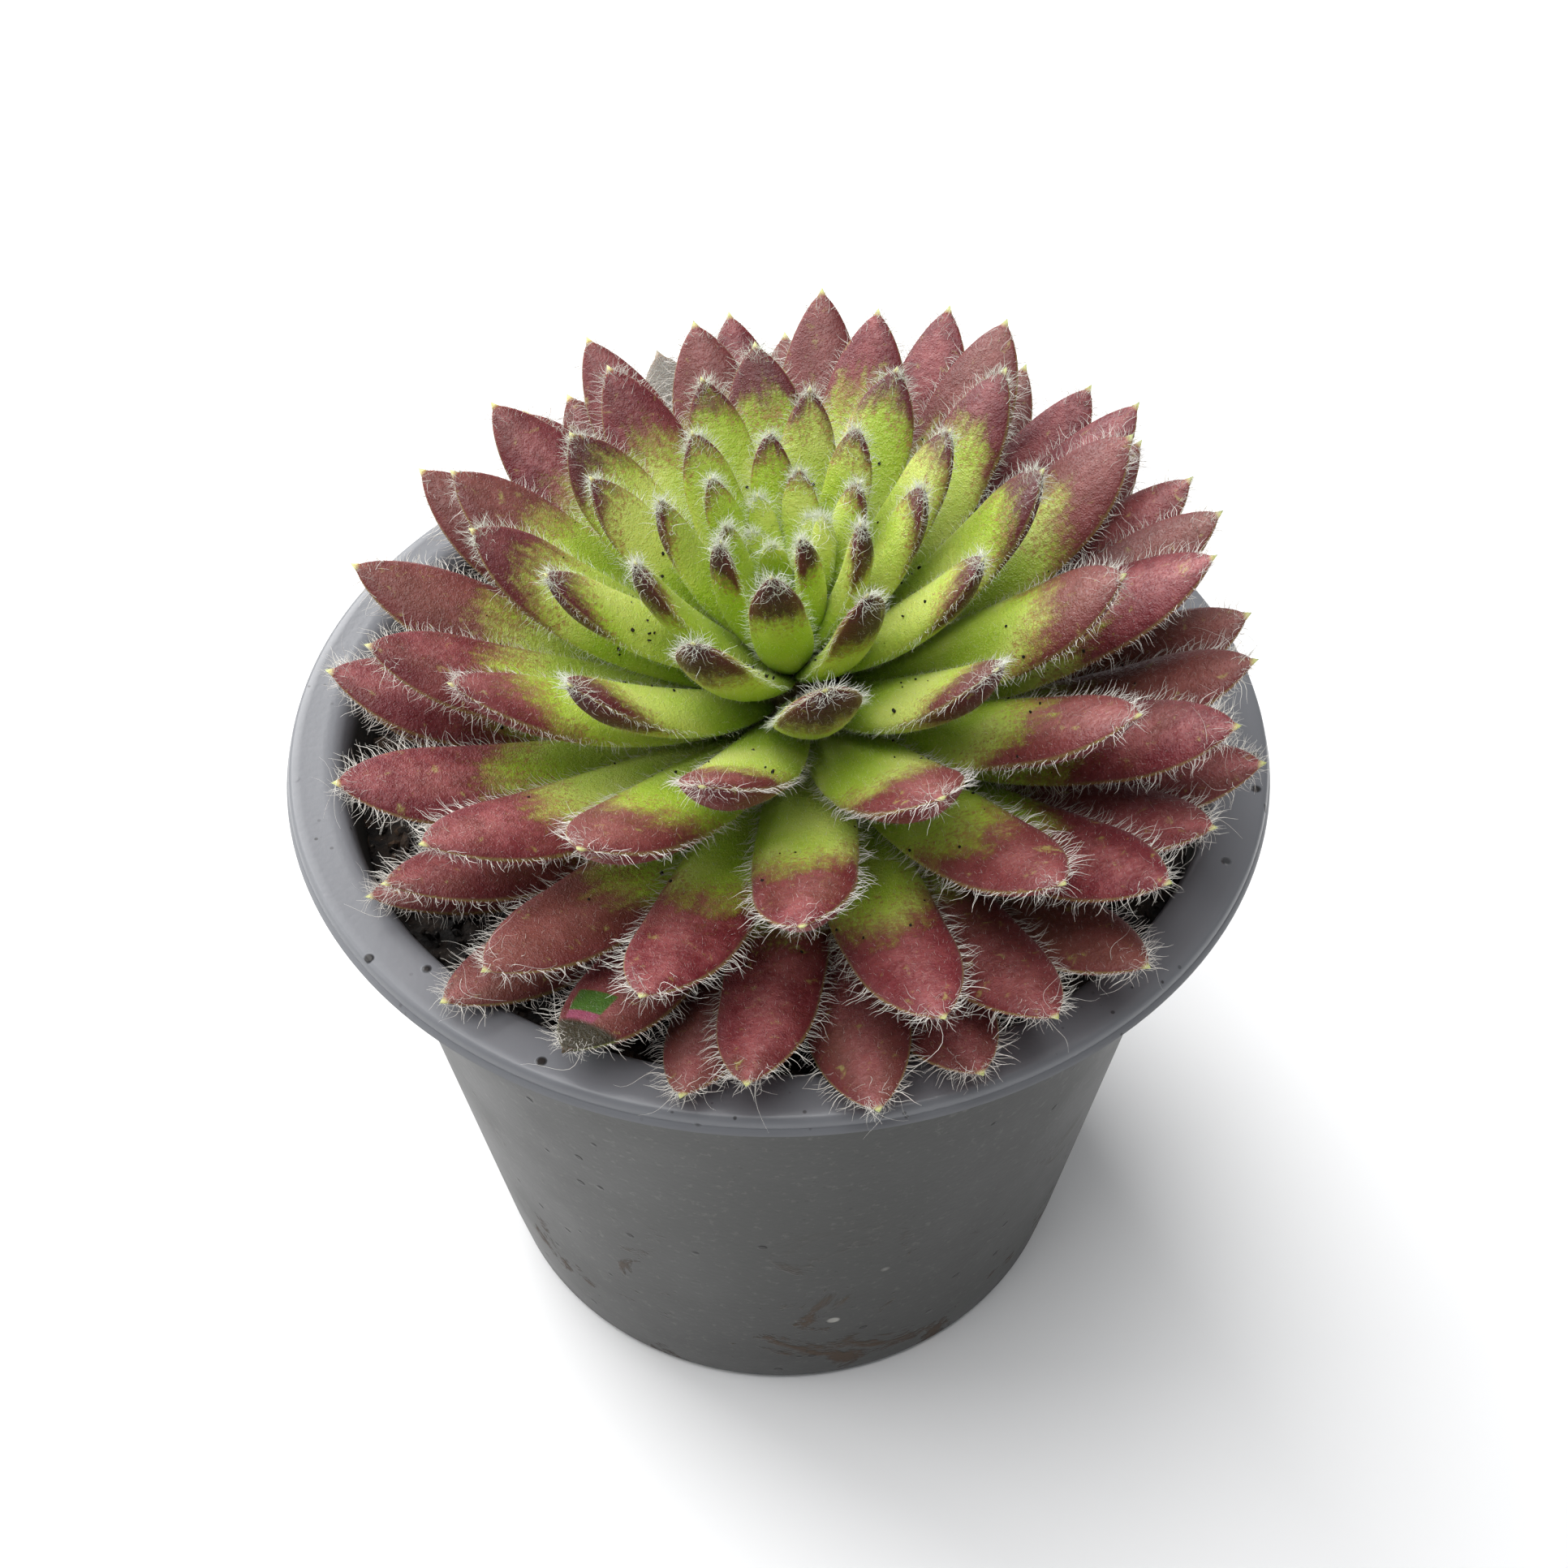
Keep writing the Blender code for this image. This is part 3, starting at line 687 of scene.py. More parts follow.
class NodeForm:
    """A Geometry Nodes tree under construction, with named inputs."""

    def __init__(self, name: str, material: bpy.types.Material) -> None:
        """Start a tree that ends in Realize Instances and Set Material.

        Args:
            name: name of the piece, material or attribute.
            material: the finish that it wears.
        """
        self.tree = bpy.data.node_groups.new(name, "GeometryNodeTree")
        self.tree.interface.new_socket("Geometry", in_out="INPUT", socket_type="NodeSocketGeometry")
        self.tree.interface.new_socket("Geometry", in_out="OUTPUT", socket_type="NodeSocketGeometry")
        self.entry = self.node("NodeGroupInput")
        self.exit = self.node("NodeGroupOutput")
        self.material = material
        self.settings: dict[str, object] = {}

    def node(self, kind: str, **inputs: object) -> bpy.types.Node:
        """Add a node.

        Args:
            kind: its type.
            **inputs: values or sockets for its inputs, underscores for spaces.

        Returns:
            The node.
        """
        made = self.tree.nodes.new(kind)
        for name, value in inputs.items():
            self.feed(made.inputs[name.replace("_", " ")], value)
        return made

    def feed(self, target: bpy.types.NodeSocket, value: object) -> None:
        """Give a socket a link or a plain value.

        Args:
            target: the socket to set.
            value: a link, number or colour.
        """
        if isinstance(value, bpy.types.NodeSocket):
            self.tree.links.new(value, target)
        else:
            target.default_value = value

    def size(self, name: str, value: float, kind: str = "NodeSocketFloat") -> bpy.types.NodeSocket:
        """Add a named input with its value and return its socket inside the tree.

        Args:
            name: name of the piece, material or attribute.
            value: a link, number or colour.
            kind: the socket or data type.

        Returns:
            The input's socket inside the tree.
        """
        socket = self.tree.interface.new_socket(name, in_out="INPUT", socket_type=kind)
        self.settings[socket.identifier] = value
        return self.entry.outputs[name]

    def math(self, operation: str, first: object, second: object = 0.0) -> bpy.types.NodeSocket:
        """A Math node.

        Args:
            operation: the node's operation.
            first: first socket or number.
            second: second socket or number.

        Returns:
            The result.
        """
        made = self.tree.nodes.new("ShaderNodeMath")
        made.operation = operation
        self.feed(made.inputs[0], first)
        self.feed(made.inputs[1], second)
        return made.outputs[0]

    def named(self, name: str, kind: str = "FLOAT") -> bpy.types.NodeSocket:
        """Read an attribute of the roots.

        Args:
            name: name of the piece, material or attribute.
            kind: the socket or data type.

        Returns:
            The attribute's socket.
        """
        made = self.tree.nodes.new("GeometryNodeInputNamedAttribute")
        made.data_type = kind
        made.inputs["Name"].default_value = name
        return made.outputs["Attribute"]

    def random(self, low: object, high: object, seed: object) -> bpy.types.NodeSocket:
        """A random number for each root.

        Args:
            low: lowest value.
            high: highest value.
            seed: the seed.

        Returns:
            The number's socket.
        """
        made = self.tree.nodes.new("FunctionNodeRandomValue")
        self.feed(made.inputs[2], low)
        self.feed(made.inputs[3], high)
        self.feed(made.inputs["Seed"], seed)
        return made.outputs[1]

    def close(self, geometry: bpy.types.NodeSocket) -> None:
        """End the tree.

        Args:
            geometry: what the tree has made.
        """
        real = self.node("GeometryNodeRealizeInstances", Geometry=geometry)
        dressed = self.node("GeometryNodeSetMaterial", Geometry=real.outputs[0], Material=self.material)
        self.feed(self.exit.inputs[0], dressed.outputs[0])

    def grow(self, name: str, source: bpy.types.Mesh) -> bpy.types.Object:
        """Run the tree on a mesh and return the result as a plain mesh object.

        Args:
            name: name of the piece.
            source: the roots or surface that the tree starts from.

        Returns:
            The finished object, with no modifier.
        """
        item = new_object(name, source)
        modifier = item.modifiers.new("grow", "NODES")
        modifier.node_group = self.tree
        for identifier, value in self.settings.items():
            modifier[identifier] = value
        bpy.context.view_layer.update()
        result = bpy.data.meshes.new_from_object(item.evaluated_get(bpy.context.evaluated_depsgraph_get()))
        item.modifiers.clear()
        item.data = result
        result.name = name
        if not result.materials:
            result.materials.append(self.material)
        return item


@dataclass
class HairForm:
    """One tapered, bent hair that is grown from every root of a cloud."""

    radius: float
    bend: float
    segments: int
    seed: int
    sides: int = 3

    def hair(self, form: NodeForm) -> bpy.types.NodeSocket:
        """Build a hair of unit length that stands on the origin.

        Args:
            form: the tree under construction.

        Returns:
            The hair's mesh.
        """
        radius = form.size("Root Radius", self.radius)
        bend = form.size("Bend", self.bend)
        segments = form.size("Segments", self.segments, "NodeSocketInt")
        line = form.node("GeometryNodeCurvePrimitiveLine")
        line.inputs["End"].default_value = (0.0, 0.0, 1.0)
        points = form.node("GeometryNodeResampleCurve", Curve=line.outputs[0], Count=segments)
        share = form.node("GeometryNodeSplineParameter").outputs["Factor"]
        offset = form.node("ShaderNodeCombineXYZ")
        form.feed(offset.inputs["X"], form.math("MULTIPLY", bend, form.math("POWER", share, 1.8)))
        wave = form.math("SINE", form.math("MULTIPLY", share, 5.0))
        form.feed(offset.inputs["Y"], form.math("MULTIPLY", form.math("MULTIPLY", bend, 0.22), wave))
        drop = form.math("MULTIPLY", form.math("POWER", share, 2.0), form.math("MULTIPLY", bend, -0.35))
        form.feed(offset.inputs["Z"], drop)
        curved = form.node("GeometryNodeSetPosition", Geometry=points.outputs[0], Offset=offset.outputs[0])
        taper = form.math("SUBTRACT", 1.0, form.math("MULTIPLY", share, 0.78))
        ring = form.node("GeometryNodeCurvePrimitiveCircle")
        ring.inputs["Resolution"].default_value = self.sides
        ring.inputs["Radius"].default_value = 1.0
        thickness = form.math("MULTIPLY", radius, taper)
        tube = form.node("GeometryNodeCurveToMesh", Curve=curved.outputs[0], Profile_Curve=ring.outputs[0])
        form.feed(tube.inputs["Scale"], thickness)
        return tube.outputs[0]

    def plant(self, form: NodeForm, points: bpy.types.NodeSocket, direction: object, reach: object) -> None:
        """Stand a hair on every point.

        Args:
            form: the tree.
            points: the roots.
            direction: which way each hair grows.
            reach: length of each hair.
        """
        seed = form.size("Seed", self.seed, "NodeSocketInt")
        aligned = form.node("FunctionNodeAlignRotationToVector", Vector=direction)
        aligned.axis = "Z"
        spin = form.node("FunctionNodeAxisAngleToRotation", Angle=form.random(0.0, math.tau, seed))
        spin.inputs["Axis"].default_value = (0.0, 0.0, 1.0)
        turned = form.node("FunctionNodeRotateRotation", Rotation=aligned.outputs[0])
        form.feed(turned.inputs["Rotate By"], spin.outputs[0])
        turned.rotation_space = "LOCAL"
        length = form.math("MULTIPLY", reach, form.random(0.75, 1.25, form.math("ADD", seed, 1.0)))
        scale = form.node("ShaderNodeCombineXYZ")
        for axis in "XYZ":
            form.feed(scale.inputs[axis], length)
        stood = form.node(
            "GeometryNodeInstanceOnPoints",
            Points=points,
            Instance=self.hair(form),
            Rotation=turned.outputs[0],
            Scale=scale.outputs[0],
        )
        form.close(stood.outputs[0])

    def from_roots(self, name: str, roots: "Roots", material: bpy.types.Material) -> bpy.types.Object:
        """Grow hairs from a cloud of roots that state their own direction and length.

        Args:
            name: name of the piece, material or attribute.
            roots: the cloud of hair roots.
            material: the finish that it wears.

        Returns:
            The finished hairs.
        """
        form = NodeForm(name, material)
        self.plant(form, form.entry.outputs[0], form.named("grow", "FLOAT_VECTOR"), form.named("reach"))
        return form.grow(name, roots.mesh(name))

    def from_surface(
        self, name: str, surface: bpy.types.Mesh, density: float, length: float, material: bpy.types.Material
    ) -> bpy.types.Object:
        """Grow a short pile all over a surface.

        Args:
            name: name of the piece.
            surface: the mesh to cover.
            density: hairs per square metre.
            length: length of a hair in metres.
            material: the hair's finish.

        Returns:
            The finished pile.
        """
        form = NodeForm(name, material)
        spread = form.node(
            "GeometryNodeDistributePointsOnFaces",
            Mesh=form.entry.outputs[0],
            Density=form.size("Density", density),
        )
        spread.inputs["Seed"].default_value = self.seed
        lean = form.tree.nodes.new("ShaderNodeVectorMath")
        lean.operation = "ADD"
        form.feed(lean.inputs[0], spread.outputs["Normal"])
        tilt = form.tree.nodes.new("FunctionNodeRandomValue")
        tilt.data_type = "FLOAT_VECTOR"
        tilt.inputs[0].default_value = (-0.55, -0.55, -0.55)
        tilt.inputs[1].default_value = (0.55, 0.55, 0.55)
        tilt.inputs["Seed"].default_value = self.seed + 5
        form.feed(lean.inputs[1], tilt.outputs[0])
        self.plant(form, spread.outputs["Points"], lean.outputs[0], form.size("Length", length))
        return form.grow(name, surface)


@dataclass
class Roots:
    """Cloud of hair roots: where each stands, which way it grows and how long it gets."""

    places: list[Vector] = field(default_factory=list)
    ways: list[Vector] = field(default_factory=list)
    lengths: list[float] = field(default_factory=list)

    def add(self, place: Vector, way: Vector, length: float) -> None:
        """Add one root.

        Args:
            place: a point in metres.
            way: the direction of growth.
            length: the hair's length in metres.
        """
        self.places.append(place.copy())
        self.ways.append(way.normalized())
        self.lengths.append(length)

    def mesh(self, name: str) -> bpy.types.Mesh:
        """The cloud as loose vertices with attributes.

        Args:
            name: name of the piece, material or attribute.

        Returns:
            The new mesh.
        """
        cloud = mesh_from(f"{name}_roots", self.places, [])
        set_vectors(cloud, "grow", np.array([tuple(way) for way in self.ways]))
        set_attribute(cloud, "reach", self.lengths)
        return cloud


# ------------------------------------------------------------------ rosette


class LeafGroup(Enum):
    """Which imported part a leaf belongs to."""

    HEART = "heart"
    SEPARATE = "separate"
    OLDEST = "oldest"


@dataclass(frozen=True)
class Growth:
    """Rule by which the rosette grows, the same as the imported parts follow."""

    crown: tuple[float, float, float] = (0.0033, -0.0052, 0.0760)
    lean_forward: float = math.radians(6.0)
    lean_side: float = math.radians(-6.4)
    droop_forward: float = math.radians(17.0)
    droop_side: float = math.radians(-3.0)
    stem_foot_radius: float = 0.0064
    stem_top_radius: float = 0.0016
    stem_height: float = 0.0240
    golden_angle: float = math.radians(137.508)
    spiral_start: float = math.radians(308.0)
    leaf_count: int = 98
    grown_age: int = 71
    heart_leaves: int = 29
    old_leaves: int = 15
    heart_tip_radius: float = 0.0025
    outer_tip_radius: float = 0.0460
    spread_power: float = 1.44
    heart_tip_height: float = 0.0385
    outer_tip_height: float = 0.0192
    fall_power: float = 2.75
    old_droop: float = 0.0020
    heart_dip: float = 0.0074
    heart_dip_leaves: int = 18
    leaf_width: float = 0.0104
    young_width: float = 0.0018
    thickness: float = 0.0030
    young_thickness: float = 0.0011
    foot_width: float = 0.0030
    foot_thickness: float = 0.0011
    full_width_age: int = 42
    bow: float = 0.12
    young_bow: float = 0.15
    gap: float = 0.0003
    withered_leaf: int = 80
    torn_leaf: int = 79

    def frame(self) -> Matrix:
        """Place of the rosette, with its Z axis along the stem."""
        place = Matrix.Translation(self.crown)
        return place @ Matrix.Rotation(self.lean_side, 4, "Y") @ Matrix.Rotation(self.lean_forward, 4, "X")

    def share(self, age: int) -> float:
        """Age of a leaf as a share of the oldest."""
        return (age + 0.5) / self.leaf_count

    def foot_height(self, share: float) -> float:
        """Height on the stem at which a leaf grows."""
        return self.stem_height * (1.0 - share)

    def stem_radius(self, height: float) -> float:
        """Radius of the stem under the leaves."""
        return mix(self.stem_foot_radius, self.stem_top_radius, clamp(height / self.stem_height))

    def tip(self, age: int) -> Vector:
        """Place of a leaf's tip in the rosette's frame before any lift.

        Args:
            age: the leaf's number, 0 for the youngest.

        Returns:
            The tip's place.
        """
        grown = min((age + 0.5) / self.grown_age, 1.0)
        aged = max(age + 0.5 - self.grown_age, 0.0) / (self.leaf_count - self.grown_age)
        reach = math.sin(0.5 * math.pi * grown) ** self.spread_power
        spread = mix(self.heart_tip_radius, self.outer_tip_radius, reach)
        rise = mix(self.heart_tip_height, self.outer_tip_height, grown**self.fall_power)
        rise -= self.old_droop * aged
        rise -= self.heart_dip * max(1.0 - age / self.heart_dip_leaves, 0.0) ** 2
        turn = self.spiral_start - self.golden_angle * age
        tilt = self.share(age) - 0.5
        sideways = Matrix.Rotation(tilt * self.droop_side, 3, "Y")
        droop = sideways @ Matrix.Rotation(tilt * self.droop_forward, 3, "X")
        return droop @ Vector((spread * math.cos(turn), spread * math.sin(turn), rise))

    def group(self, age: int) -> LeafGroup:
        """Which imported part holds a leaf.

        Args:
            age: the leaf's number, 0 for the youngest.

        Returns:
            The leaf's group.
        """
        if age < self.heart_leaves:
            return LeafGroup.HEART
        if age >= self.leaf_count - self.old_leaves:
            return LeafGroup.OLDEST
        return LeafGroup.SEPARATE

    def node(self, age: int) -> str:
        """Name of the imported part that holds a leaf.

        Args:
            age: the leaf's number, 0 for the youngest.

        Returns:
            The part's name.
        """
        group = self.group(age)
        if group is LeafGroup.HEART:
            return "heart"
        if group is LeafGroup.OLDEST:
            return "stem"
        return f"leaf_{self.leaf_count - self.old_leaves - age:02d}"


class Leaf:
    """One plump leaf: a bowed, keeled blade with a short point."""

    STATIONS = 30
    SECTION = 22
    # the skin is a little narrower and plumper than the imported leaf
    NARROWER = 0.94
    FULLER = 1.25
    # a packed point further than this from where the tip should be is not this leaf's
    FARTHEST_TIP = 0.004
    # the length, as a share, over which the point rounds off
    NIB = 0.015
    # power by which stations gather towards the point
    CROWDING = 1.45
    # height of the skin above and below the centre line, as shares of the half thickness
    ABOVE = 0.80
    BELOW = 1.30

    def __init__(self, growth: Growth, age: int) -> None:
        """Work out the leaf's place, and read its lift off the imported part.

        Args:
            growth: the rosette's rule.
            age: the leaf's number, 0 for the youngest.
        """
        chance = random.Random(1000 + age)
        self.growth = growth
        self.age = age
        self.frame = growth.frame()
        tip = growth.tip(age)
        foot_z = growth.foot_height(growth.share(age))
        if age < growth.heart_leaves:
            lowest = growth.foot_height(growth.share(growth.heart_leaves)) + 1.5 * growth.foot_thickness
            foot_z = max(foot_z, lowest)
        separate = growth.group(age) is LeafGroup.SEPARATE
        standoff = 2.0 * growth.gap + 0.5 * growth.foot_thickness if separate else -growth.gap
        foot_r = growth.stem_radius(foot_z) + standoff
        self.turn = math.atan2(tip.y, tip.x)
        self.length = math.hypot(math.hypot(tip.x, tip.y) - foot_r, tip.z - foot_z)
        self.pitch = math.atan2(tip.z - foot_z, math.hypot(tip.x, tip.y) - foot_r)
        self.foot = Vector((foot_r, foot_z))
        self.read_tip()
        grown = min((age + 0.5) / growth.full_width_age, 1.0) ** 0.65
        self.grown = grown
        slender = min((age + 0.5) / growth.full_width_age, 1.0) ** 0.85
        width = mix(growth.young_width, self.NARROWER * growth.leaf_width, slender)
        self.width = width * chance.uniform(0.94, 1.06)
        thickness = mix(growth.young_thickness, growth.thickness, grown) * self.FULLER
        self.thickness = thickness * chance.uniform(0.94, 1.08)
        self.bow = mix(growth.young_bow, growth.bow, grown)
        self.widest = chance.uniform(0.66, 0.72)
        self.sway = chance.uniform(-0.035, 0.035)
        self.twist = chance.uniform(-0.16, 0.16)
        self.wave = chance.uniform(0.0, math.tau)
        self.tone = chance.random()
        self.youth = 1.0 - smooth(24.0, 50.0, age)
        self.blush = self.blush_start(chance)
        self.dry = 1.0 if age == growth.withered_leaf else 0.0
        self.scar = 1.0 if age == growth.torn_leaf else 0.0

    def read_tip(self) -> None:
        """Take the turn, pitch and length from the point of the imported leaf."""
        inverse = self.frame.inverted()
        points = [inverse @ Vector(point) for point in node_points(self.growth.node(self.age))]
        away = Vector((math.cos(self.turn), math.sin(self.turn), 0.0))
        across = Vector((-away.y, away.x, 0.0))
        start = away * self.foot.x + Vector((0.0, 0.0, self.foot.y))
        best = None
        for point in points:
            ray = point - start
            miss = abs(ray.length - self.length) + 0.6 * abs(ray.dot(across))
            rise = math.atan2(ray.z, ray.dot(away)) - self.pitch
            miss += 0.02 * max(-rise, 0.0) + 0.002 * max(rise, 0.0)
            if best is None or miss < best[0]:
                best = (miss, point)
        if best is None or best[0] > self.FARTHEST_TIP:
            return
        tip = best[1]
        self.turn = math.atan2(tip.y, tip.x)
        self.length = math.hypot(math.hypot(tip.x, tip.y) - self.foot.x, tip.z - self.foot.y)
        self.pitch = math.atan2(tip.z - self.foot.y, math.hypot(tip.x, tip.y) - self.foot.x)

    def blush_start(self, chance: random.Random) -> float:
        """Share of the length at which the burgundy begins.

        Args:
            chance: the seeded source of random draws.

        Returns:
            The share.
        """
        if self.age < 6:
            return 1.15
        if self.age < 34:
            return mix(0.80, 0.72, (self.age - 6) / 28.0) + chance.uniform(-0.03, 0.03)
        if self.age < 62:
            return mix(0.72, 0.60, (self.age - 34) / 28.0) + chance.uniform(-0.04, 0.04)
        return mix(0.60, 0.18, (self.age - 62) / 36.0) + chance.uniform(-0.05, 0.05)

    def spine(self, share: float) -> tuple[Vector, Vector]:
        """Point of the bowed centre line and its direction, as (outwards, up) pairs.

        Args:
            share: share of the leaf's length, from its foot.

        Returns:
            The point and the direction.
        """
        along = Vector((math.cos(self.pitch), math.sin(self.pitch)))
        outwards = Vector((along.y, -along.x))
        start = self.foot
        end = start + along * self.length
        middle = start + along * (0.5 * self.length) + outwards * (self.bow * self.length)
        point = start * (1.0 - share) ** 2 + middle * (2.0 * share * (1.0 - share)) + end * share**2
        direction = ((middle - start) * (1.0 - share) + (end - middle) * share).normalized()
        return point, direction

    def half_sizes(self, share: float) -> tuple[float, float, float]:
        """Half width, height above and depth below the centre line.

        Args:
            share: share of the leaf's length, from its foot.

        Returns:
            The half width, the height and the depth in metres.
        """
        if share < self.widest:
            full = math.sin(0.5 * math.pi * share / self.widest)
        else:
            full = max(1.0 - ((share - self.widest) / (1.0 - self.widest)) ** 2.2, 0.0) ** 0.95
        taper = max(1.0 - share / self.widest, 0.0)
        foot = self.growth.foot_width * mix(0.6, 1.3, self.grown)
        half_width = 0.5 * (self.width * full**0.80 + foot * taper)
        plump = 0.5 * (self.thickness * full**0.80 + 1.3 * self.growth.foot_thickness * taper)
        nib = max(1.0 - share, 0.0)
        nib_radius = 0.0
        if nib < self.NIB:
            nib_radius = mix(0.00008, 0.00015, self.grown) * (nib / self.NIB) ** 0.5
        above = max(self.ABOVE * plump, nib_radius)
        below = max(self.BELOW * plump, nib_radius)
        return max(half_width, nib_radius), above, below

    def section_point(self, share: float, angle: float) -> Vector:
        """A point of the skin in the rosette's frame.

        Args:
            share: share of the leaf's length, from its foot.
            angle: place round the section, in radians.

        Returns:
            The point.
        """
        point, direction = self.spine(share)
        upwards = Vector((-direction.y, direction.x))
        half_width, above, below = self.half_sizes(share)
        cosine = math.cos(angle)
        sine = math.sin(angle)
        side = cosine * half_width
        if sine >= 0.0:
            lift = above * sine**1.10
        else:
            lift = -below * (0.62 * abs(sine) + 0.38 * abs(sine) ** 3)
        roll = self.twist * share
        cos_roll = math.cos(roll)
        sin_roll = math.sin(roll)
        side, lift = side * cos_roll - lift * sin_roll, side * sin_roll + lift * cos_roll
        ripple = 1.0 + 0.018 * math.sin(9.0 * share + self.wave) * cosine
        side = side * ripple + self.sway * self.length * share * share
        place = point + upwards * lift
        away = Vector((math.cos(self.turn), math.sin(self.turn), 0.0))
        across = Vector((-away.y, away.x, 0.0))
        return away * place.x + Vector((0.0, 0.0, place.y)) + across * side

    def shares(self) -> list[float]:
        """Stations along the blade, closer together towards the point."""
        steps = [step / (self.STATIONS - 1) for step in range(self.STATIONS)]
        return [1.0 - (1.0 - step) ** self.CROWDING for step in steps[:-1]]

    def build(self, skin: "Skin") -> None:
        """Add the leaf's skin to a mesh under construction.

        Args:
            skin: the gathered leaf skins.
        """
        first = len(skin.points)
        shares = self.shares()
        for share in shares:
            for step in range(self.SECTION):
                angle = math.tau * step / self.SECTION
                place = self.frame @ self.section_point(share, angle)
                skin.add_point(place, self, share, math.cos(angle), math.sin(angle))
        for row in range(len(shares) - 1):
            for step in range(self.SECTION):
                after = (step + 1) % self.SECTION
                low = first + row * self.SECTION
                high = low + self.SECTION
                skin.faces.append((low + step, low + after, high + after, high + step))
        tip_number = len(skin.points)
        tip, direction = self.spine(1.0)
        tip = tip + direction * mix(0.00025, 0.0006, self.grown)
        sway = self.sway * self.length
        across = Vector((-math.sin(self.turn), math.cos(self.turn), 0.0))
        point = Vector((tip.x * math.cos(self.turn), tip.x * math.sin(self.turn), tip.y)) + across * sway
        skin.add_point(self.frame @ point, self, 1.0, 0.0, 0.0)
        last = first + (len(shares) - 1) * self.SECTION
        for step in range(self.SECTION):
            skin.faces.append((last + step, last + (step + 1) % self.SECTION, tip_number))
        skin.faces.append(tuple(first + step for step in reversed(range(self.SECTION))))

    def world_frame(self, share: float, angle: float) -> tuple[Vector, Vector, Vector]:
        """A point of the skin, the way it faces and the way the blade runs, in the world.

        Args:
            share: share of the leaf's length, from its foot.
            angle: place round the section, in radians.

        Returns:
            The point, the way out of the leaf and the way along it.
        """
        step = 0.01
        place = self.section_point(share, angle)
        along = self.section_point(min(share + step, 1.0), angle) - self.section_point(share - step, angle)
        centre, direction = self.spine(share)
        core = Vector((centre.x * math.cos(self.turn), centre.x * math.sin(self.turn), centre.y))
        across = Vector((-math.sin(self.turn), math.cos(self.turn), 0.0))
        core += across * (self.sway * self.length * share * share)
        outwards = place - core
        spin = self.frame.to_3x3()
        return self.frame @ place, (spin @ outwards).normalized(), (spin @ along).normalized()

    def fringe(self, roots: Roots, chance: random.Random) -> None:
        """Add the roots of the hairs along both margins.

        Args:
            roots: the cloud of hair roots.
            chance: the seeded source of random draws.
        """
        count = int(mix(44, 118, self.grown))
        for angle in (0.0, math.pi):
            for number in range(count):
                share = mix(0.22, 0.985, (number + chance.random()) / count)
                place, outwards, along = self.world_frame(share, angle + chance.uniform(-0.16, 0.16))
                way = outwards + along * chance.uniform(0.10, 0.80) + random_vector(chance) * 0.26
                length = mix(0.0008, 0.00165, smooth(12.0, 62.0, self.age)) * chance.uniform(0.60, 1.25)
                roots.add(place, way, length * mix(0.75, 1.2, share))

    def tuft(self, roots: Roots, chance: random.Random) -> None:
        """Add the roots of the hairs round the point.

        Args:
            roots: the cloud of hair roots.
            chance: the seeded source of random draws.
        """
        count = int(72 + 90 * self.youth)
        for _ in range(count):
            share = 1.0 - abs(chance.gauss(0.0, 0.035)) - 0.004
            place, outwards, along = self.world_frame(share, chance.uniform(0.0, math.tau))
            way = outwards * 0.8 + along * chance.uniform(0.2, 1.3) + random_vector(chance) * 0.55
            roots.add(place, way, mix(0.0009, 0.0013, self.grown) * chance.uniform(0.5, 1.4))


def random_vector(chance: random.Random) -> Vector:
    """A random vector in a cube of side 2."""
    return Vector((chance.uniform(-1, 1), chance.uniform(-1, 1), chance.uniform(-1, 1)))


@dataclass
class Skin:
    """Leaf skins gathered into one mesh, with the numbers that their finish follows."""

    points: list[Vector] = field(default_factory=list)
    faces: list[tuple[int, ...]] = field(default_factory=list)
    marks: dict[str, list[float]] = field(default_factory=dict)

    def add_point(self, place: Vector, leaf: Leaf, share: float, side: float, height: float) -> None:
        """Add a vertex and what the finish needs to know about it.

        Args:
            place: a point in metres.
            leaf: the leaf that the point is on.
            share: share of the leaf's length, from its foot.
            side: place across the leaf, -1 to 1.
            height: place above the leaf's middle, -1 to 1.
        """
        self.points.append(place)
        values = {
            "along": share,
            "side": side,
            "under": smooth(0.3, -0.3, height),
            "blush": leaf.blush,
            "youth": leaf.youth,
            "tone": leaf.tone,
            "elder": smooth(68.0, 92.0, leaf.age),
            "dry": leaf.dry,
            "scar": leaf.scar,
        }
        for name, value in values.items():
            self.marks.setdefault(name, []).append(value)

    def mesh(self, name: str) -> bpy.types.Mesh:
        """The gathered skins as one mesh.

        Args:
            name: name of the piece, material or attribute.

        Returns:
            The new mesh.
        """
        made = mesh_from(name, self.points, self.faces)
        for mark, values in self.marks.items():
            set_attribute(made, mark, values)
        return made


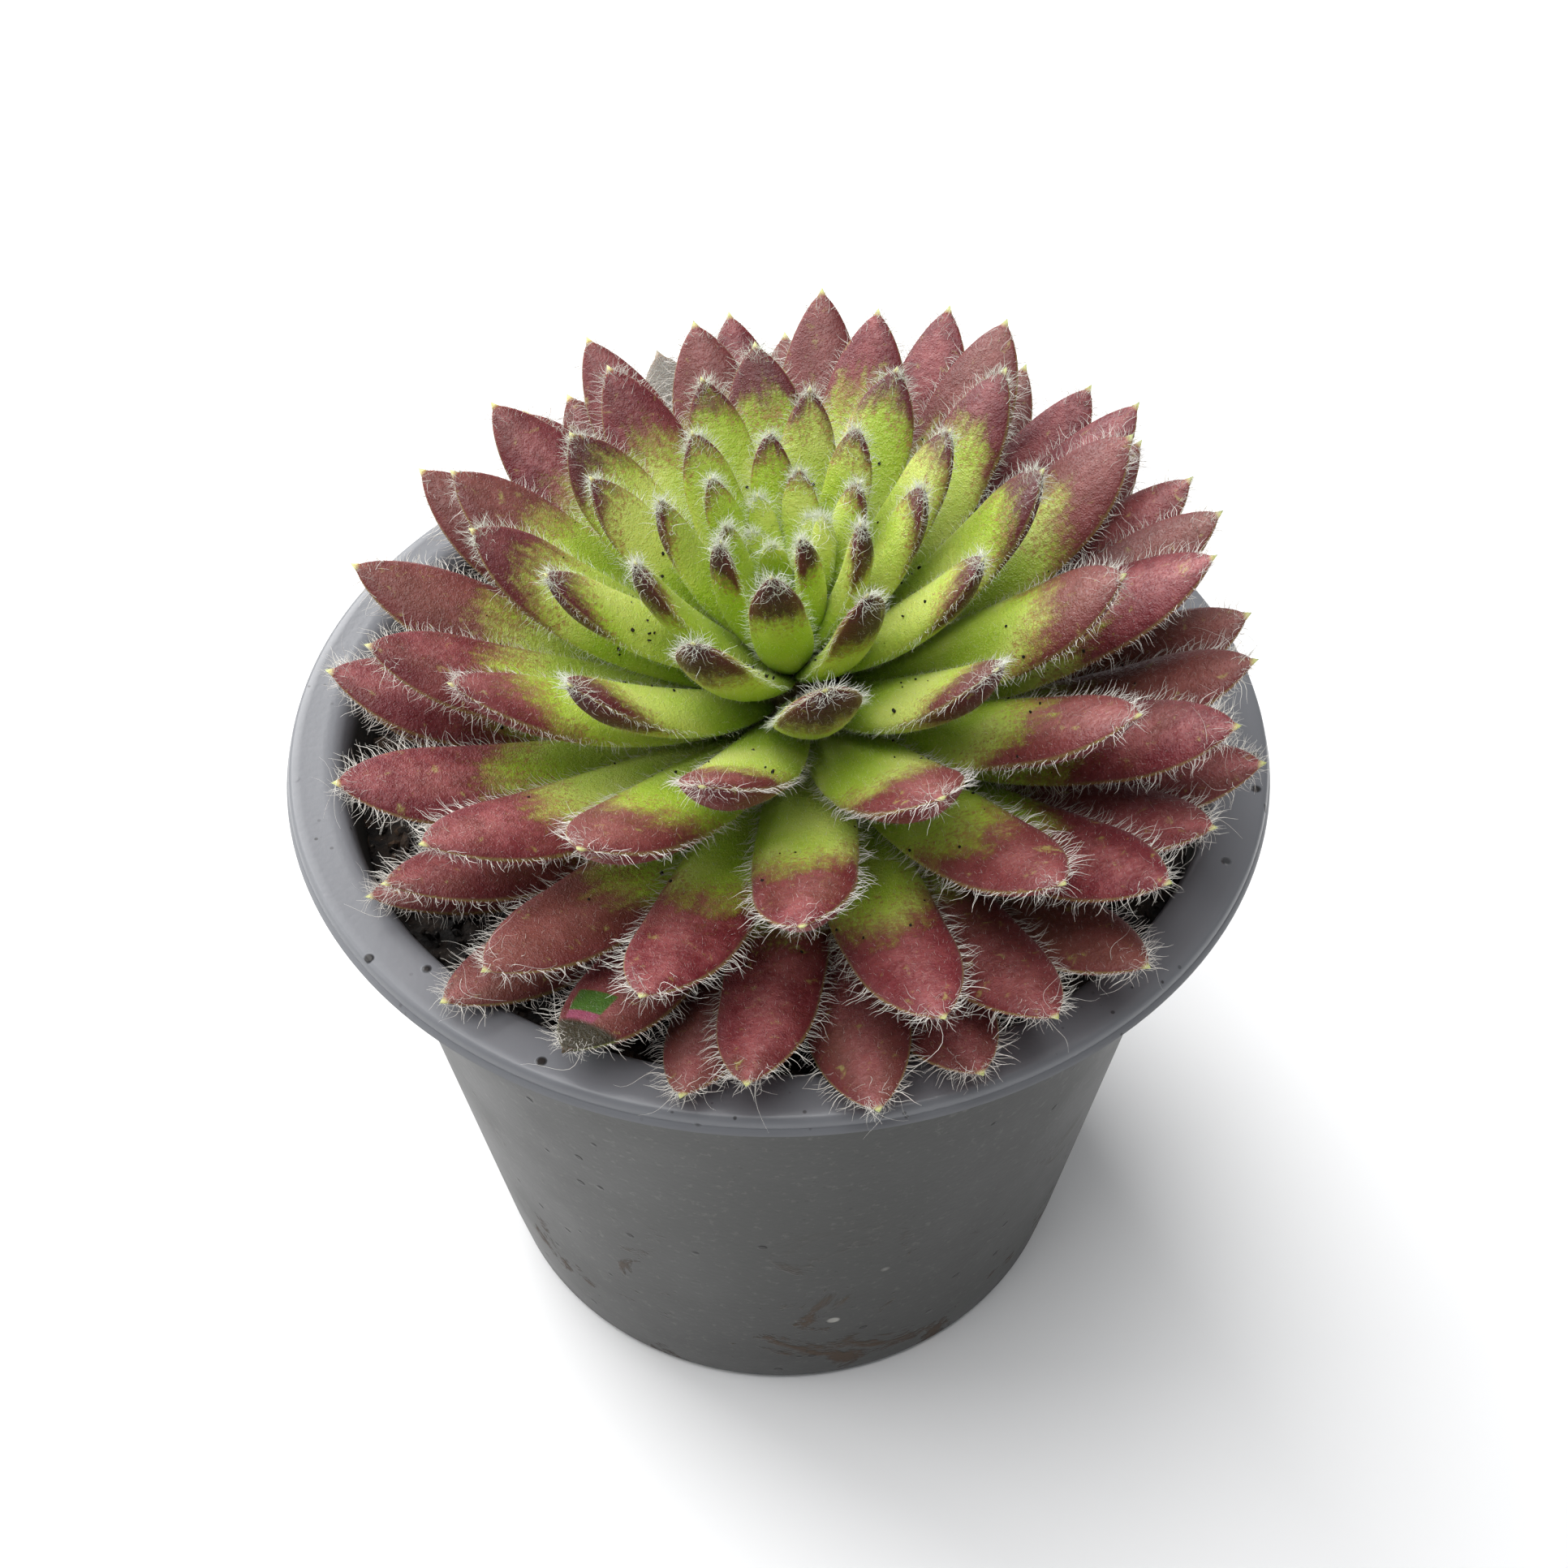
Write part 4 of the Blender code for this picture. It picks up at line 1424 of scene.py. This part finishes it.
@dataclass
class Rosette:
    """All the leaves, their hairs and the bark of the stem."""

    growth: Growth = field(default_factory=Growth)
    seed: int = 11
    fringe_radius: float = 0.0165
    pile_length: float = 0.00040
    pile_density: float = 1.5e6
    pile_groups: tuple[int, ...] = (0, 40, 56, 70, 84, 98)
    web_leaves: int = 20
    web_hairs: int = 40
    stray_first: int = 58
    stray_hairs: int = 5
    speck_ages: tuple[int, int] = (20, 74)
    speck_count: int = 260
    speck_size: float = 0.00026

    def build(self) -> None:
        """Build and dress the whole rosette."""
        skin_finish = LeafFinish().build("leaf_skin")
        leaves = [Leaf(self.growth, age) for age in range(self.growth.leaf_count)]
        heart = Skin()
        oldest = Skin()
        for leaf in leaves:
            group = self.growth.group(leaf.age)
            if group is LeafGroup.SEPARATE:
                skin = Skin()
                leaf.build(skin)
                node = self.growth.node(leaf.age)
                self.dress(node, skin, skin_finish, (node,))
            else:
                leaf.build(heart if group is LeafGroup.HEART else oldest)
        self.dress("heart", heart, skin_finish, ("heart",))
        self.dress("oldest", oldest, skin_finish, ())
        self.build_stem()
        self.build_hairs(leaves)

    def dress(
        self, name: str, skin: Skin, finish: bpy.types.Material, nodes: Sequence[str]
    ) -> None:
        """Turn a gathered skin into a finished piece.

        Args:
            name: name of the piece, material or attribute.
            skin: the gathered leaf skins.
            finish: its material.
            nodes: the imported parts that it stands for.
        """
        item = new_object(f"{name}_skin", skin.mesh(f"{name}_skin"))
        item.data.materials.append(finish)
        finish_piece(item, nodes)

    def build_stem(self) -> None:
        """Bark of the short stem under the leaves."""
        profile = [(0.0, -0.022), (0.0034, -0.0215), (0.0044, -0.010), (0.0060, -0.001)]
        profile += [(0.0062, 0.004), (0.0044, 0.012), (0.0028, 0.019), (0.0, 0.0215)]
        mesh = turned("stem_bark", profile, 40, ripple=0.0003)
        mesh.transform(self.growth.frame())
        item = new_object("stem_bark", mesh)
        item.data.materials.append(WitheredFinish((0.24, 0.19, 0.08), (0.09, 0.06, 0.03)).build("bark"))
        finish_piece(item, ("stem",))

    def build_hairs(self, leaves: Sequence[Leaf]) -> None:
        """Fringes, tufts, pile, a web of hairs over the bud, loose threads and soil specks.

        Args:
            leaves: all the leaves, youngest first.
        """
        white = HairFinish((0.90, 0.93, 0.82)).build("hair_white")
        cream = HairFinish((0.88, 0.85, 0.78)).build("hair_cream")
        chance = random.Random(self.seed)
        young = Roots()
        grown = Roots()
        for leaf in leaves:
            roots = young if leaf.age < self.growth.heart_leaves + 8 else grown
            leaf.fringe(roots, chance)
            leaf.tuft(roots, chance)
        fine = HairForm(radius=self.fringe_radius, bend=0.32, segments=5, seed=self.seed)
        finish_piece(fine.from_roots("fringe_young", young, white))
        for number in (1, 2):
            part = slice(number - 1, None, 2)
            half = Roots(grown.places[part], grown.ways[part], grown.lengths[part])
            finish_piece(fine.from_roots(f"fringe_grown_{number}", half, cream))
        pile = HairForm(radius=0.024, bend=0.30, segments=2, seed=self.seed + 3)
        for number, (first, after) in enumerate(zip(self.pile_groups, self.pile_groups[1:])):
            skin = Skin()
            for leaf in leaves[first:after]:
                leaf.build(skin)
            cover = skin.mesh(f"pile_{number}_source")
            item = pile.from_surface(f"pile_{number}", cover, self.pile_density, self.pile_length, cream)
            finish_piece(item)
        self.build_web(leaves, white)
        self.build_strays(leaves, cream)
        self.build_specks(leaves)

    def build_web(self, leaves: Sequence[Leaf], finish: bpy.types.Material) -> None:
        """Cobweb of long crossing hairs over the bud.

        Args:
            leaves: all the leaves, youngest first.
            finish: its material.
        """
        chance = random.Random(self.seed + 9)
        roots = Roots()
        for leaf in leaves[: self.web_leaves]:
            for _ in range(self.web_hairs):
                share = chance.uniform(0.86, 0.99)
                place, outwards, along = leaf.world_frame(share, chance.uniform(0.0, math.tau))
                way = outwards * 0.5 + along * 0.5 + random_vector(chance) * 0.9
                roots.add(place, way, chance.uniform(0.0007, 0.0016))
        web = HairForm(radius=0.020, bend=0.75, segments=6, seed=self.seed + 10)
        finish_piece(web.from_roots("bud_web", roots, finish))

    def build_strays(self, leaves: Sequence[Leaf], finish: bpy.types.Material) -> None:
        """Long loose threads that hang from the points of the outer leaves.

        Args:
            leaves: all the leaves, youngest first.
            finish: its material.
        """
        chance = random.Random(self.seed + 15)
        roots = Roots()
        for leaf in leaves[self.stray_first :]:
            for _ in range(self.stray_hairs):
                share = chance.uniform(0.93, 0.99)
                place, outwards, along = leaf.world_frame(share, chance.uniform(0.0, math.tau))
                way = along * 0.7 + outwards * 0.3 + random_vector(chance) * 0.9
                roots.add(place, way, chance.uniform(0.0022, 0.0048))
        thread = HairForm(radius=0.0060, bend=0.80, segments=10, seed=self.seed + 16)
        finish_piece(thread.from_roots("loose_threads", roots, finish))

    def build_specks(self, leaves: Sequence[Leaf]) -> None:
        """Grains of soil caught on the green feet of the leaves.

        Args:
            leaves: all the leaves, youngest first.
        """
        chance = random.Random(self.seed + 21)
        places = []
        for _ in range(self.speck_count):
            leaf = leaves[chance.randrange(*self.speck_ages)]
            share = chance.uniform(0.30, 0.72)
            place, outwards, _ = leaf.world_frame(share, chance.uniform(0.35, math.pi - 0.35))
            places.append(place + outwards * (0.3 * self.speck_size))
        specks = Crumbs(0.3 * self.speck_size, self.speck_size, self.seed + 22)
        finish = SoilFinish().build("speck_soil")
        finish_piece(specks.on_points("leaf_specks", places, finish))


# ------------------------------------------------------------------ pot and soil


def turned(
    name: str, profile: Sequence[tuple[float, float]], sides: int, ripple: float = 0.0
) -> bpy.types.Mesh:
    """Turn a profile round Z.

    Args:
        name: name of the mesh.
        profile: (radius, height) points from the axis at the bottom, up the outside and back.
        sides: number of sides.
        ripple: unevenness of the radius in metres.

    Returns:
        The closed mesh.
    """
    form = bmesh.new()
    chance = random.Random(len(profile))
    rings = []
    for radius, height in profile:
        if radius == 0.0:
            rings.append([form.verts.new((0.0, 0.0, height))])
            continue
        ring = []
        for step in range(sides):
            angle = math.tau * step / sides
            reach = radius + chance.uniform(-ripple, ripple)
            ring.append(form.verts.new((reach * math.cos(angle), reach * math.sin(angle), height)))
        rings.append(ring)
    for lower, upper in zip(rings, rings[1:]):
        for step in range(sides):
            after = (step + 1) % sides
            if len(lower) == 1:
                form.faces.new((lower[0], upper[after], upper[step]))
            elif len(upper) == 1:
                form.faces.new((lower[step], lower[after], upper[0]))
            else:
                form.faces.new((lower[step], lower[after], upper[after], upper[step]))
    bmesh.ops.recalc_face_normals(form, faces=form.faces)
    mesh = bpy.data.meshes.new(name)
    form.to_mesh(mesh)
    form.free()
    mesh.shade_smooth()
    return mesh


@dataclass
class Pot:
    """Thin nursery pot with a flat rim, a turned-down skirt and drain holes."""

    height: float = 0.0800
    rim_radius: float = 0.0525
    rim_overhang: float = 0.0051
    rim_drop: float = 0.0022
    base_radius: float = 0.0374
    wall: float = 0.0010
    floor: float = 0.0014
    drain_count: int = 8
    drain_radius: float = 0.0032
    drain_inset: float = 0.0095
    sides: int = 192

    def body_top(self) -> float:
        """Outer radius of the wall under the rim."""
        return self.rim_radius - self.rim_overhang

    def inner(self, height: float) -> float:
        """Inner radius of the wall at a height."""
        return mix(self.base_radius, self.body_top(), height / self.height) - self.wall

    def profile(self) -> list[tuple[float, float]]:
        """Outline from the middle of the base, up the outside and back down the inside.

        Returns:
            The (radius, height) points.
        """
        top = self.height
        under = top - self.wall
        skirt = top - self.rim_drop
        rim = self.rim_radius
        outline = [(0.0, 0.0006), (self.base_radius - 0.0060, 0.0006), (self.base_radius - 0.0052, 0.0)]
        outline += [(self.base_radius - 0.0013, 0.0), (self.base_radius - 0.0004, 0.0004)]
        outline += [(self.base_radius, 0.0013)]
        for step in range(1, 12):
            height = mix(0.0013, under - 0.0012, step / 12)
            outline.append((mix(self.base_radius, self.body_top(), height / self.height), height))
        outline += [(self.body_top() - 0.0001, under - 0.0009), (self.body_top() + 0.0003, under - 0.0002)]
        outline += [(self.body_top() + 0.0010, under), (rim - 0.0017, under), (rim - 0.0011, under - 0.0003)]
        outline += [(rim - 0.0010, skirt + 0.0002), (rim - 0.0008, skirt), (rim - 0.0003, skirt)]
        outline += [(rim, skirt + 0.00025), (rim - 0.0001, skirt + 0.0006), (rim - 0.0004, skirt + 0.0009)]
        outline += [(rim - 0.00035, top - 0.0008), (rim - 0.0006, top - 0.0002), (rim - 0.0010, top)]
        outline += [(rim - 0.0018, top - 0.00005), (self.body_top() + 0.0012, top - 0.0001)]
        outline += [(self.body_top() + 0.0002, top - 0.0001), (self.body_top() - 0.0005, top - 0.0004)]
        outline += [(self.body_top() - 0.0009, top - 0.0010), (self.inner(top - 0.0022), top - 0.0022)]
        for step in range(1, 8):
            height = mix(top - 0.0022, self.floor, step / 7)
            outline.append((self.inner(height), height))
        outline.append((0.0, self.floor))
        return outline

    def build(self) -> None:
        """Build the pot, cut its drain holes and dress it."""
        item = new_object("pot_shell", turned("pot_shell", self.profile(), self.sides))
        form = bmesh.new()
        for index in range(self.drain_count):
            angle = math.tau * (index + 0.5) / self.drain_count
            reach = self.base_radius - self.drain_inset
            spot = Matrix.Translation((reach * math.cos(angle), reach * math.sin(angle), 0.0))
            bmesh.ops.create_cone(
                form,
                cap_ends=True,
                segments=32,
                radius1=self.drain_radius,
                radius2=self.drain_radius,
                depth=0.01,
                matrix=spot,
            )
        cutters = bpy.data.meshes.new("drains")
        form.to_mesh(cutters)
        form.free()
        tool = new_object("drains", cutters)
        cut = item.modifiers.new("drains", "BOOLEAN")
        cut.operation = "DIFFERENCE"
        cut.solver = "EXACT"
        cut.object = tool
        bpy.context.view_layer.update()
        mesh = bpy.data.meshes.new_from_object(item.evaluated_get(bpy.context.evaluated_depsgraph_get()))
        item.modifiers.clear()
        item.data = mesh
        bpy.data.objects.remove(tool, do_unlink=True)
        mesh.shade_smooth()
        mesh.set_sharp_from_angle(angle=math.radians(42.0))
        set_attribute(mesh, "height", [vertex.co.z / self.height for vertex in mesh.vertices])
        mesh.materials.clear()
        mesh.materials.append(PlasticFinish().build("pot_plastic"))
        finish_piece(item, ("pot",))


@dataclass
class Crumbs:
    """Rough little lumps, scattered over a surface or laid on chosen points."""

    smallest: float
    largest: float
    seed: int

    def lump(self, form: NodeForm) -> bpy.types.NodeSocket:
        """One uneven lump of unit radius.

        Args:
            form: the tree under construction.

        Returns:
            The lump's mesh.
        """
        ball = form.node("GeometryNodeMeshIcoSphere", Radius=1.0, Subdivisions=1)
        push = form.tree.nodes.new("ShaderNodeTexNoise")
        push.inputs["Scale"].default_value = 1.3
        shift = form.tree.nodes.new("ShaderNodeVectorMath")
        shift.operation = "SCALE"
        form.feed(shift.inputs[0], push.outputs["Color"])
        shift.inputs["Scale"].default_value = 0.7
        moved = form.node("GeometryNodeSetPosition", Geometry=ball.outputs[0], Offset=shift.outputs[0])
        return moved.outputs[0]

    def lay(self, form: NodeForm, points: bpy.types.NodeSocket, seed: bpy.types.NodeSocket) -> None:
        """Lay a turned, stretched lump on every point.

        Args:
            form: the tree.
            points: where the lumps lie.
            seed: the tree's seed.
        """
        turn = form.tree.nodes.new("FunctionNodeRandomValue")
        turn.data_type = "FLOAT_VECTOR"
        turn.inputs[1].default_value = (math.tau, math.tau, math.tau)
        form.feed(turn.inputs["Seed"], seed)
        stretch = form.tree.nodes.new("FunctionNodeRandomValue")
        stretch.data_type = "FLOAT_VECTOR"
        stretch.inputs[0].default_value = (0.5, 0.5, 0.35)
        stretch.inputs[1].default_value = (1.4, 1.2, 0.9)
        low = form.size("Smallest", self.smallest)
        high = form.size("Largest", self.largest)
        scaled = form.tree.nodes.new("ShaderNodeVectorMath")
        scaled.operation = "SCALE"
        form.feed(scaled.inputs[0], stretch.outputs[0])
        form.feed(scaled.inputs["Scale"], form.random(low, high, form.math("ADD", seed, 2.0)))
        placed = form.node(
            "GeometryNodeInstanceOnPoints",
            Points=points,
            Instance=self.lump(form),
            Rotation=turn.outputs[0],
            Scale=scaled.outputs[0],
        )
        form.close(placed.outputs[0])

    def over(
        self, name: str, surface: bpy.types.Mesh, density: float, finish: bpy.types.Material
    ) -> bpy.types.Object:
        """Scatter lumps over a surface.

        Args:
            name: name of the piece.
            surface: the mesh to cover.
            density: lumps per square metre.
            finish: their material.

        Returns:
            The lumps as one object.
        """
        form = NodeForm(name, finish)
        seed = form.size("Seed", self.seed, "NodeSocketInt")
        amount = form.size("Density", density)
        spread = form.node("GeometryNodeDistributePointsOnFaces", Mesh=form.entry.outputs[0], Density=amount)
        form.feed(spread.inputs["Seed"], seed)
        self.lay(form, spread.outputs["Points"], seed)
        return form.grow(name, surface)

    def on_points(
        self, name: str, places: Sequence[Vector], finish: bpy.types.Material
    ) -> bpy.types.Object:
        """Lay one lump on every given point.

        Args:
            name: name of the piece, material or attribute.
            places: the points.
            finish: its material.

        Returns:
            The lumps as one object.
        """
        form = NodeForm(name, finish)
        seed = form.size("Seed", self.seed, "NodeSocketInt")
        self.lay(form, form.entry.outputs[0], seed)
        return form.grow(name, mesh_from(f"{name}_points", places, []))


@dataclass
class Soil:
    """Crumbly crust over the packed soil, with loose crumbs and bits of bark."""

    pot: Pot
    crumb_density: float = 5.2e5
    bark_density: float = 4.5e4
    seed: int = 23
    rings: int = 34
    sides: int = 120
    drop: float = 0.0090
    lowest_top: float = 0.0105
    underside: float = 0.0115

    def build(self) -> None:
        """Build the crust and what lies on it."""
        finish = SoilFinish().build("soil_mix")
        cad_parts["soil"].data.materials.clear()
        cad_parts["soil"].data.materials.append(finish)
        crust = self.crust()
        item = new_object("soil_crust", crust)
        item.data.materials.append(finish)
        finish_piece(item)
        crumbs = Crumbs(0.00016, 0.00085, self.seed)
        finish_piece(crumbs.over("soil_crumbs", crust.copy(), self.crumb_density, finish))
        bark = SoilFinish(dark=(0.020, 0.013, 0.009), brown=(0.085, 0.050, 0.028)).build("bark_bits")
        bits = Crumbs(0.0005, 0.0016, self.seed + 1)
        finish_piece(bits.over("bark_bits", crust.copy(), self.bark_density, bark))

    def crust(self) -> bpy.types.Mesh:
        """Fine uneven skin just over the packed soil's top, closed underneath.

        Returns:
            The closed crust.
        """
        tree = node_tree_of("soil")
        edge = self.pot.inner(self.pot.height - self.drop) - 0.0002
        chance = random.Random(self.seed)
        rings = self.rings
        sides = self.sides
        points = []
        for ring in range(rings + 1):
            radius = edge * (1.0 - ring / rings) + 0.0001
            for step in range(sides):
                angle = math.tau * step / sides
                x = radius * math.cos(angle)
                y = radius * math.sin(angle)
                found = tree.ray_cast(Vector((x * 0.985, y * 0.985, 0.2)), Vector((0.0, 0.0, -1.0)))[0]
                height = found.z if found is not None else self.pot.height - self.drop
                height = max(height, self.pot.height - self.lowest_top)
                points.append((x, y, height + 0.0004 + chance.uniform(-0.0003, 0.0007)))
        under = len(points)
        for step in range(sides):
            angle = math.tau * step / sides
            points.append((edge * math.cos(angle), edge * math.sin(angle), self.pot.height - self.underside))
        faces = []
        for ring in range(rings):
            for step in range(sides):
                after = (step + 1) % sides
                low = ring * sides
                high = low + sides
                faces.append((low + step, low + after, high + after, high + step))
        for step in range(sides):
            after = (step + 1) % sides
            faces.append((under + step, under + after, after, step))
        faces.append(tuple(rings * sides + step for step in range(sides)))
        faces.append(tuple(under + step for step in reversed(range(sides))))
        return mesh_from("soil_crust", points, faces)


@dataclass
class WitheredLeaf:
    """A dry curled leaf that stands for a packed dry leaf."""

    node: str
    light: Color
    dark: Color
    seed: int
    length: float = 0.0125
    width: float = 0.0066
    rows: int = 22
    columns: int = 14

    def build(self) -> None:
        """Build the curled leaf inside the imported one's box."""
        low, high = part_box(self.node)
        centre = (low + high) / 2
        turn = math.atan2(centre.y, centre.x)
        along = Vector((-math.sin(turn), math.cos(turn), 0.0))
        across = Vector((math.cos(turn), math.sin(turn), 0.0))
        chance = random.Random(self.seed)
        rows = self.rows
        columns = self.columns
        points = []
        for layer in (1.0, -1.0):
            for row in range(rows + 1):
                share = row / rows
                full = math.sin(math.pi * clamp(share, 0.02, 0.985)) ** 0.62
                for column in range(columns + 1):
                    side = 2.0 * column / columns - 1.0
                    crinkle = 0.00035 * math.sin(13.0 * share + 4.0 * side)
                    crinkle += chance.uniform(-0.00008, 0.00008)
                    curl = 0.0020 * (side * full) ** 2 + 0.0016 * (2.0 * share - 1.0) ** 2
                    thick = 0.00022 * layer * full * (1.0 - side**4)
                    rise = centre.z - 0.0012 + curl + crinkle + thick
                    place = centre + along * ((share - 0.5) * self.length)
                    place += across * (0.5 * self.width * side * full)
                    points.append((place.x, place.y, rise))
        sheet = (rows + 1) * (columns + 1)
        faces = []
        for layer in (0, 1):
            for row in range(rows):
                for column in range(columns):
                    corner = layer * sheet + row * (columns + 1) + column
                    quad = (corner, corner + 1, corner + columns + 2, corner + columns + 1)
                    faces.append(quad if layer == 1 else tuple(reversed(quad)))
        rim = [column for column in range(columns + 1)]
        rim += [row * (columns + 1) + columns for row in range(1, rows + 1)]
        rim += [rows * (columns + 1) + column for column in reversed(range(columns))]
        rim += [row * (columns + 1) for row in reversed(range(1, rows))]
        for place, after in zip(rim, rim[1:] + rim[:1]):
            faces.append((place, after, after + sheet, place + sheet))
        mesh = mesh_from(f"{self.node}_sheet", points, faces)
        form = bmesh.new()
        form.from_mesh(mesh)
        bmesh.ops.remove_doubles(form, verts=form.verts, dist=1e-6)
        bmesh.ops.recalc_face_normals(form, faces=form.faces)
        form.to_mesh(mesh)
        form.free()
        item = new_object(f"{self.node}_sheet", mesh)
        item.data.materials.append(WitheredFinish(self.light, self.dark).build(f"{self.node}_skin"))
        finish_piece(item, (self.node,))


# ------------------------------------------------------------------ studio


@dataclass
class Studio:
    """Plain pale floor, soft light and the camera."""

    lens: float = 43.79
    distance: float = 0.2055
    elevation: float = math.radians(44.4)
    pitch: float = math.radians(46.6)
    yaw: float = math.radians(-0.23)
    roll: float = math.radians(-0.36)
    target_height: float = 0.080
    sky: Color = (0.95, 0.97, 1.0)
    sky_strength: float = 0.32
    floor_half: float = 4.0

    def build(self) -> None:
        """Set the floor, lights, world and camera."""
        self.floor()
        self.world()
        self.light("overhead", (-0.15, -0.05, 1.0), (0.8, 0.8), 9.5)
        self.light("back", (-0.72, 0.85, 0.74), (1.0, 0.7), 17.0)
        self.light("left", (-1.0, 0.10, 0.42), (0.5, 0.5), 3.2)
        self.camera()

    def floor(self) -> None:
        """A wide flat floor under the pot."""
        half = self.floor_half
        corners = [(-half, -half, 0.0), (half, -half, 0.0), (half, half, 0.0), (-half, half, 0.0)]
        item = new_object("floor", mesh_from("floor", corners, [(0, 1, 2, 3)]))
        item.data.materials.append(FloorFinish().build("floor"))

    def world(self) -> None:
        """Even white surroundings."""
        world = bpy.data.worlds.new("studio")
        world.use_nodes = True
        background = world.node_tree.nodes["Background"]
        background.inputs["Color"].default_value = (*self.sky, 1.0)
        background.inputs["Strength"].default_value = self.sky_strength
        bpy.context.scene.world = world
        bpy.context.scene.view_settings.view_transform = "Standard"

    def light(
        self, name: str, place: tuple[float, float, float], size: tuple[float, float], power: float
    ) -> None:
        """A soft rectangular light aimed at the plant.

        Args:
            name: name of the light.
            place: where it hangs.
            size: width and height in metres.
            power: watts.
        """
        data = bpy.data.lights.new(name, "AREA")
        data.shape = "RECTANGLE"
        data.size, data.size_y = size
        data.energy = power
        item = bpy.data.objects.new(name, data)
        bpy.context.scene.collection.objects.link(item)
        item.location = place
        aim = Vector((0.0, 0.0, self.target_height)) - Vector(place)
        item.rotation_euler = aim.to_track_quat("-Z", "Y").to_euler()

    def camera(self) -> None:
        """Camera in front of and above the plant."""
        data = bpy.data.cameras.new("camera")
        data.sensor_width = 36.0
        data.lens = self.lens
        data.clip_start = 0.01
        item = bpy.data.objects.new("camera", data)
        bpy.context.scene.collection.objects.link(item)
        back = -self.distance * math.cos(self.elevation)
        place = (0.0, back, self.target_height + self.distance * math.sin(self.elevation))
        look = Matrix.Rotation(self.yaw, 4, "Z") @ Matrix.Rotation(0.5 * math.pi - self.pitch, 4, "X")
        item.matrix_world = Matrix.Translation(place) @ look @ Matrix.Rotation(self.roll, 4, "Z")
        bpy.context.scene.camera = item


def main() -> None:
    """Build the pieces in order and note the sizes."""
    logging.basicConfig(level=logging.INFO, format="%(message)s")
    pot = Pot()
    pot.build()
    Soil(pot).build()
    Rosette().build()
    WitheredLeaf("dry_leaf_1", (0.30, 0.20, 0.12), (0.09, 0.05, 0.03), 5).build()
    WitheredLeaf("dry_leaf_2", (0.34, 0.32, 0.29), (0.13, 0.11, 0.10), 6).build()
    Studio().build()


if __name__ == "__main__":
    main()
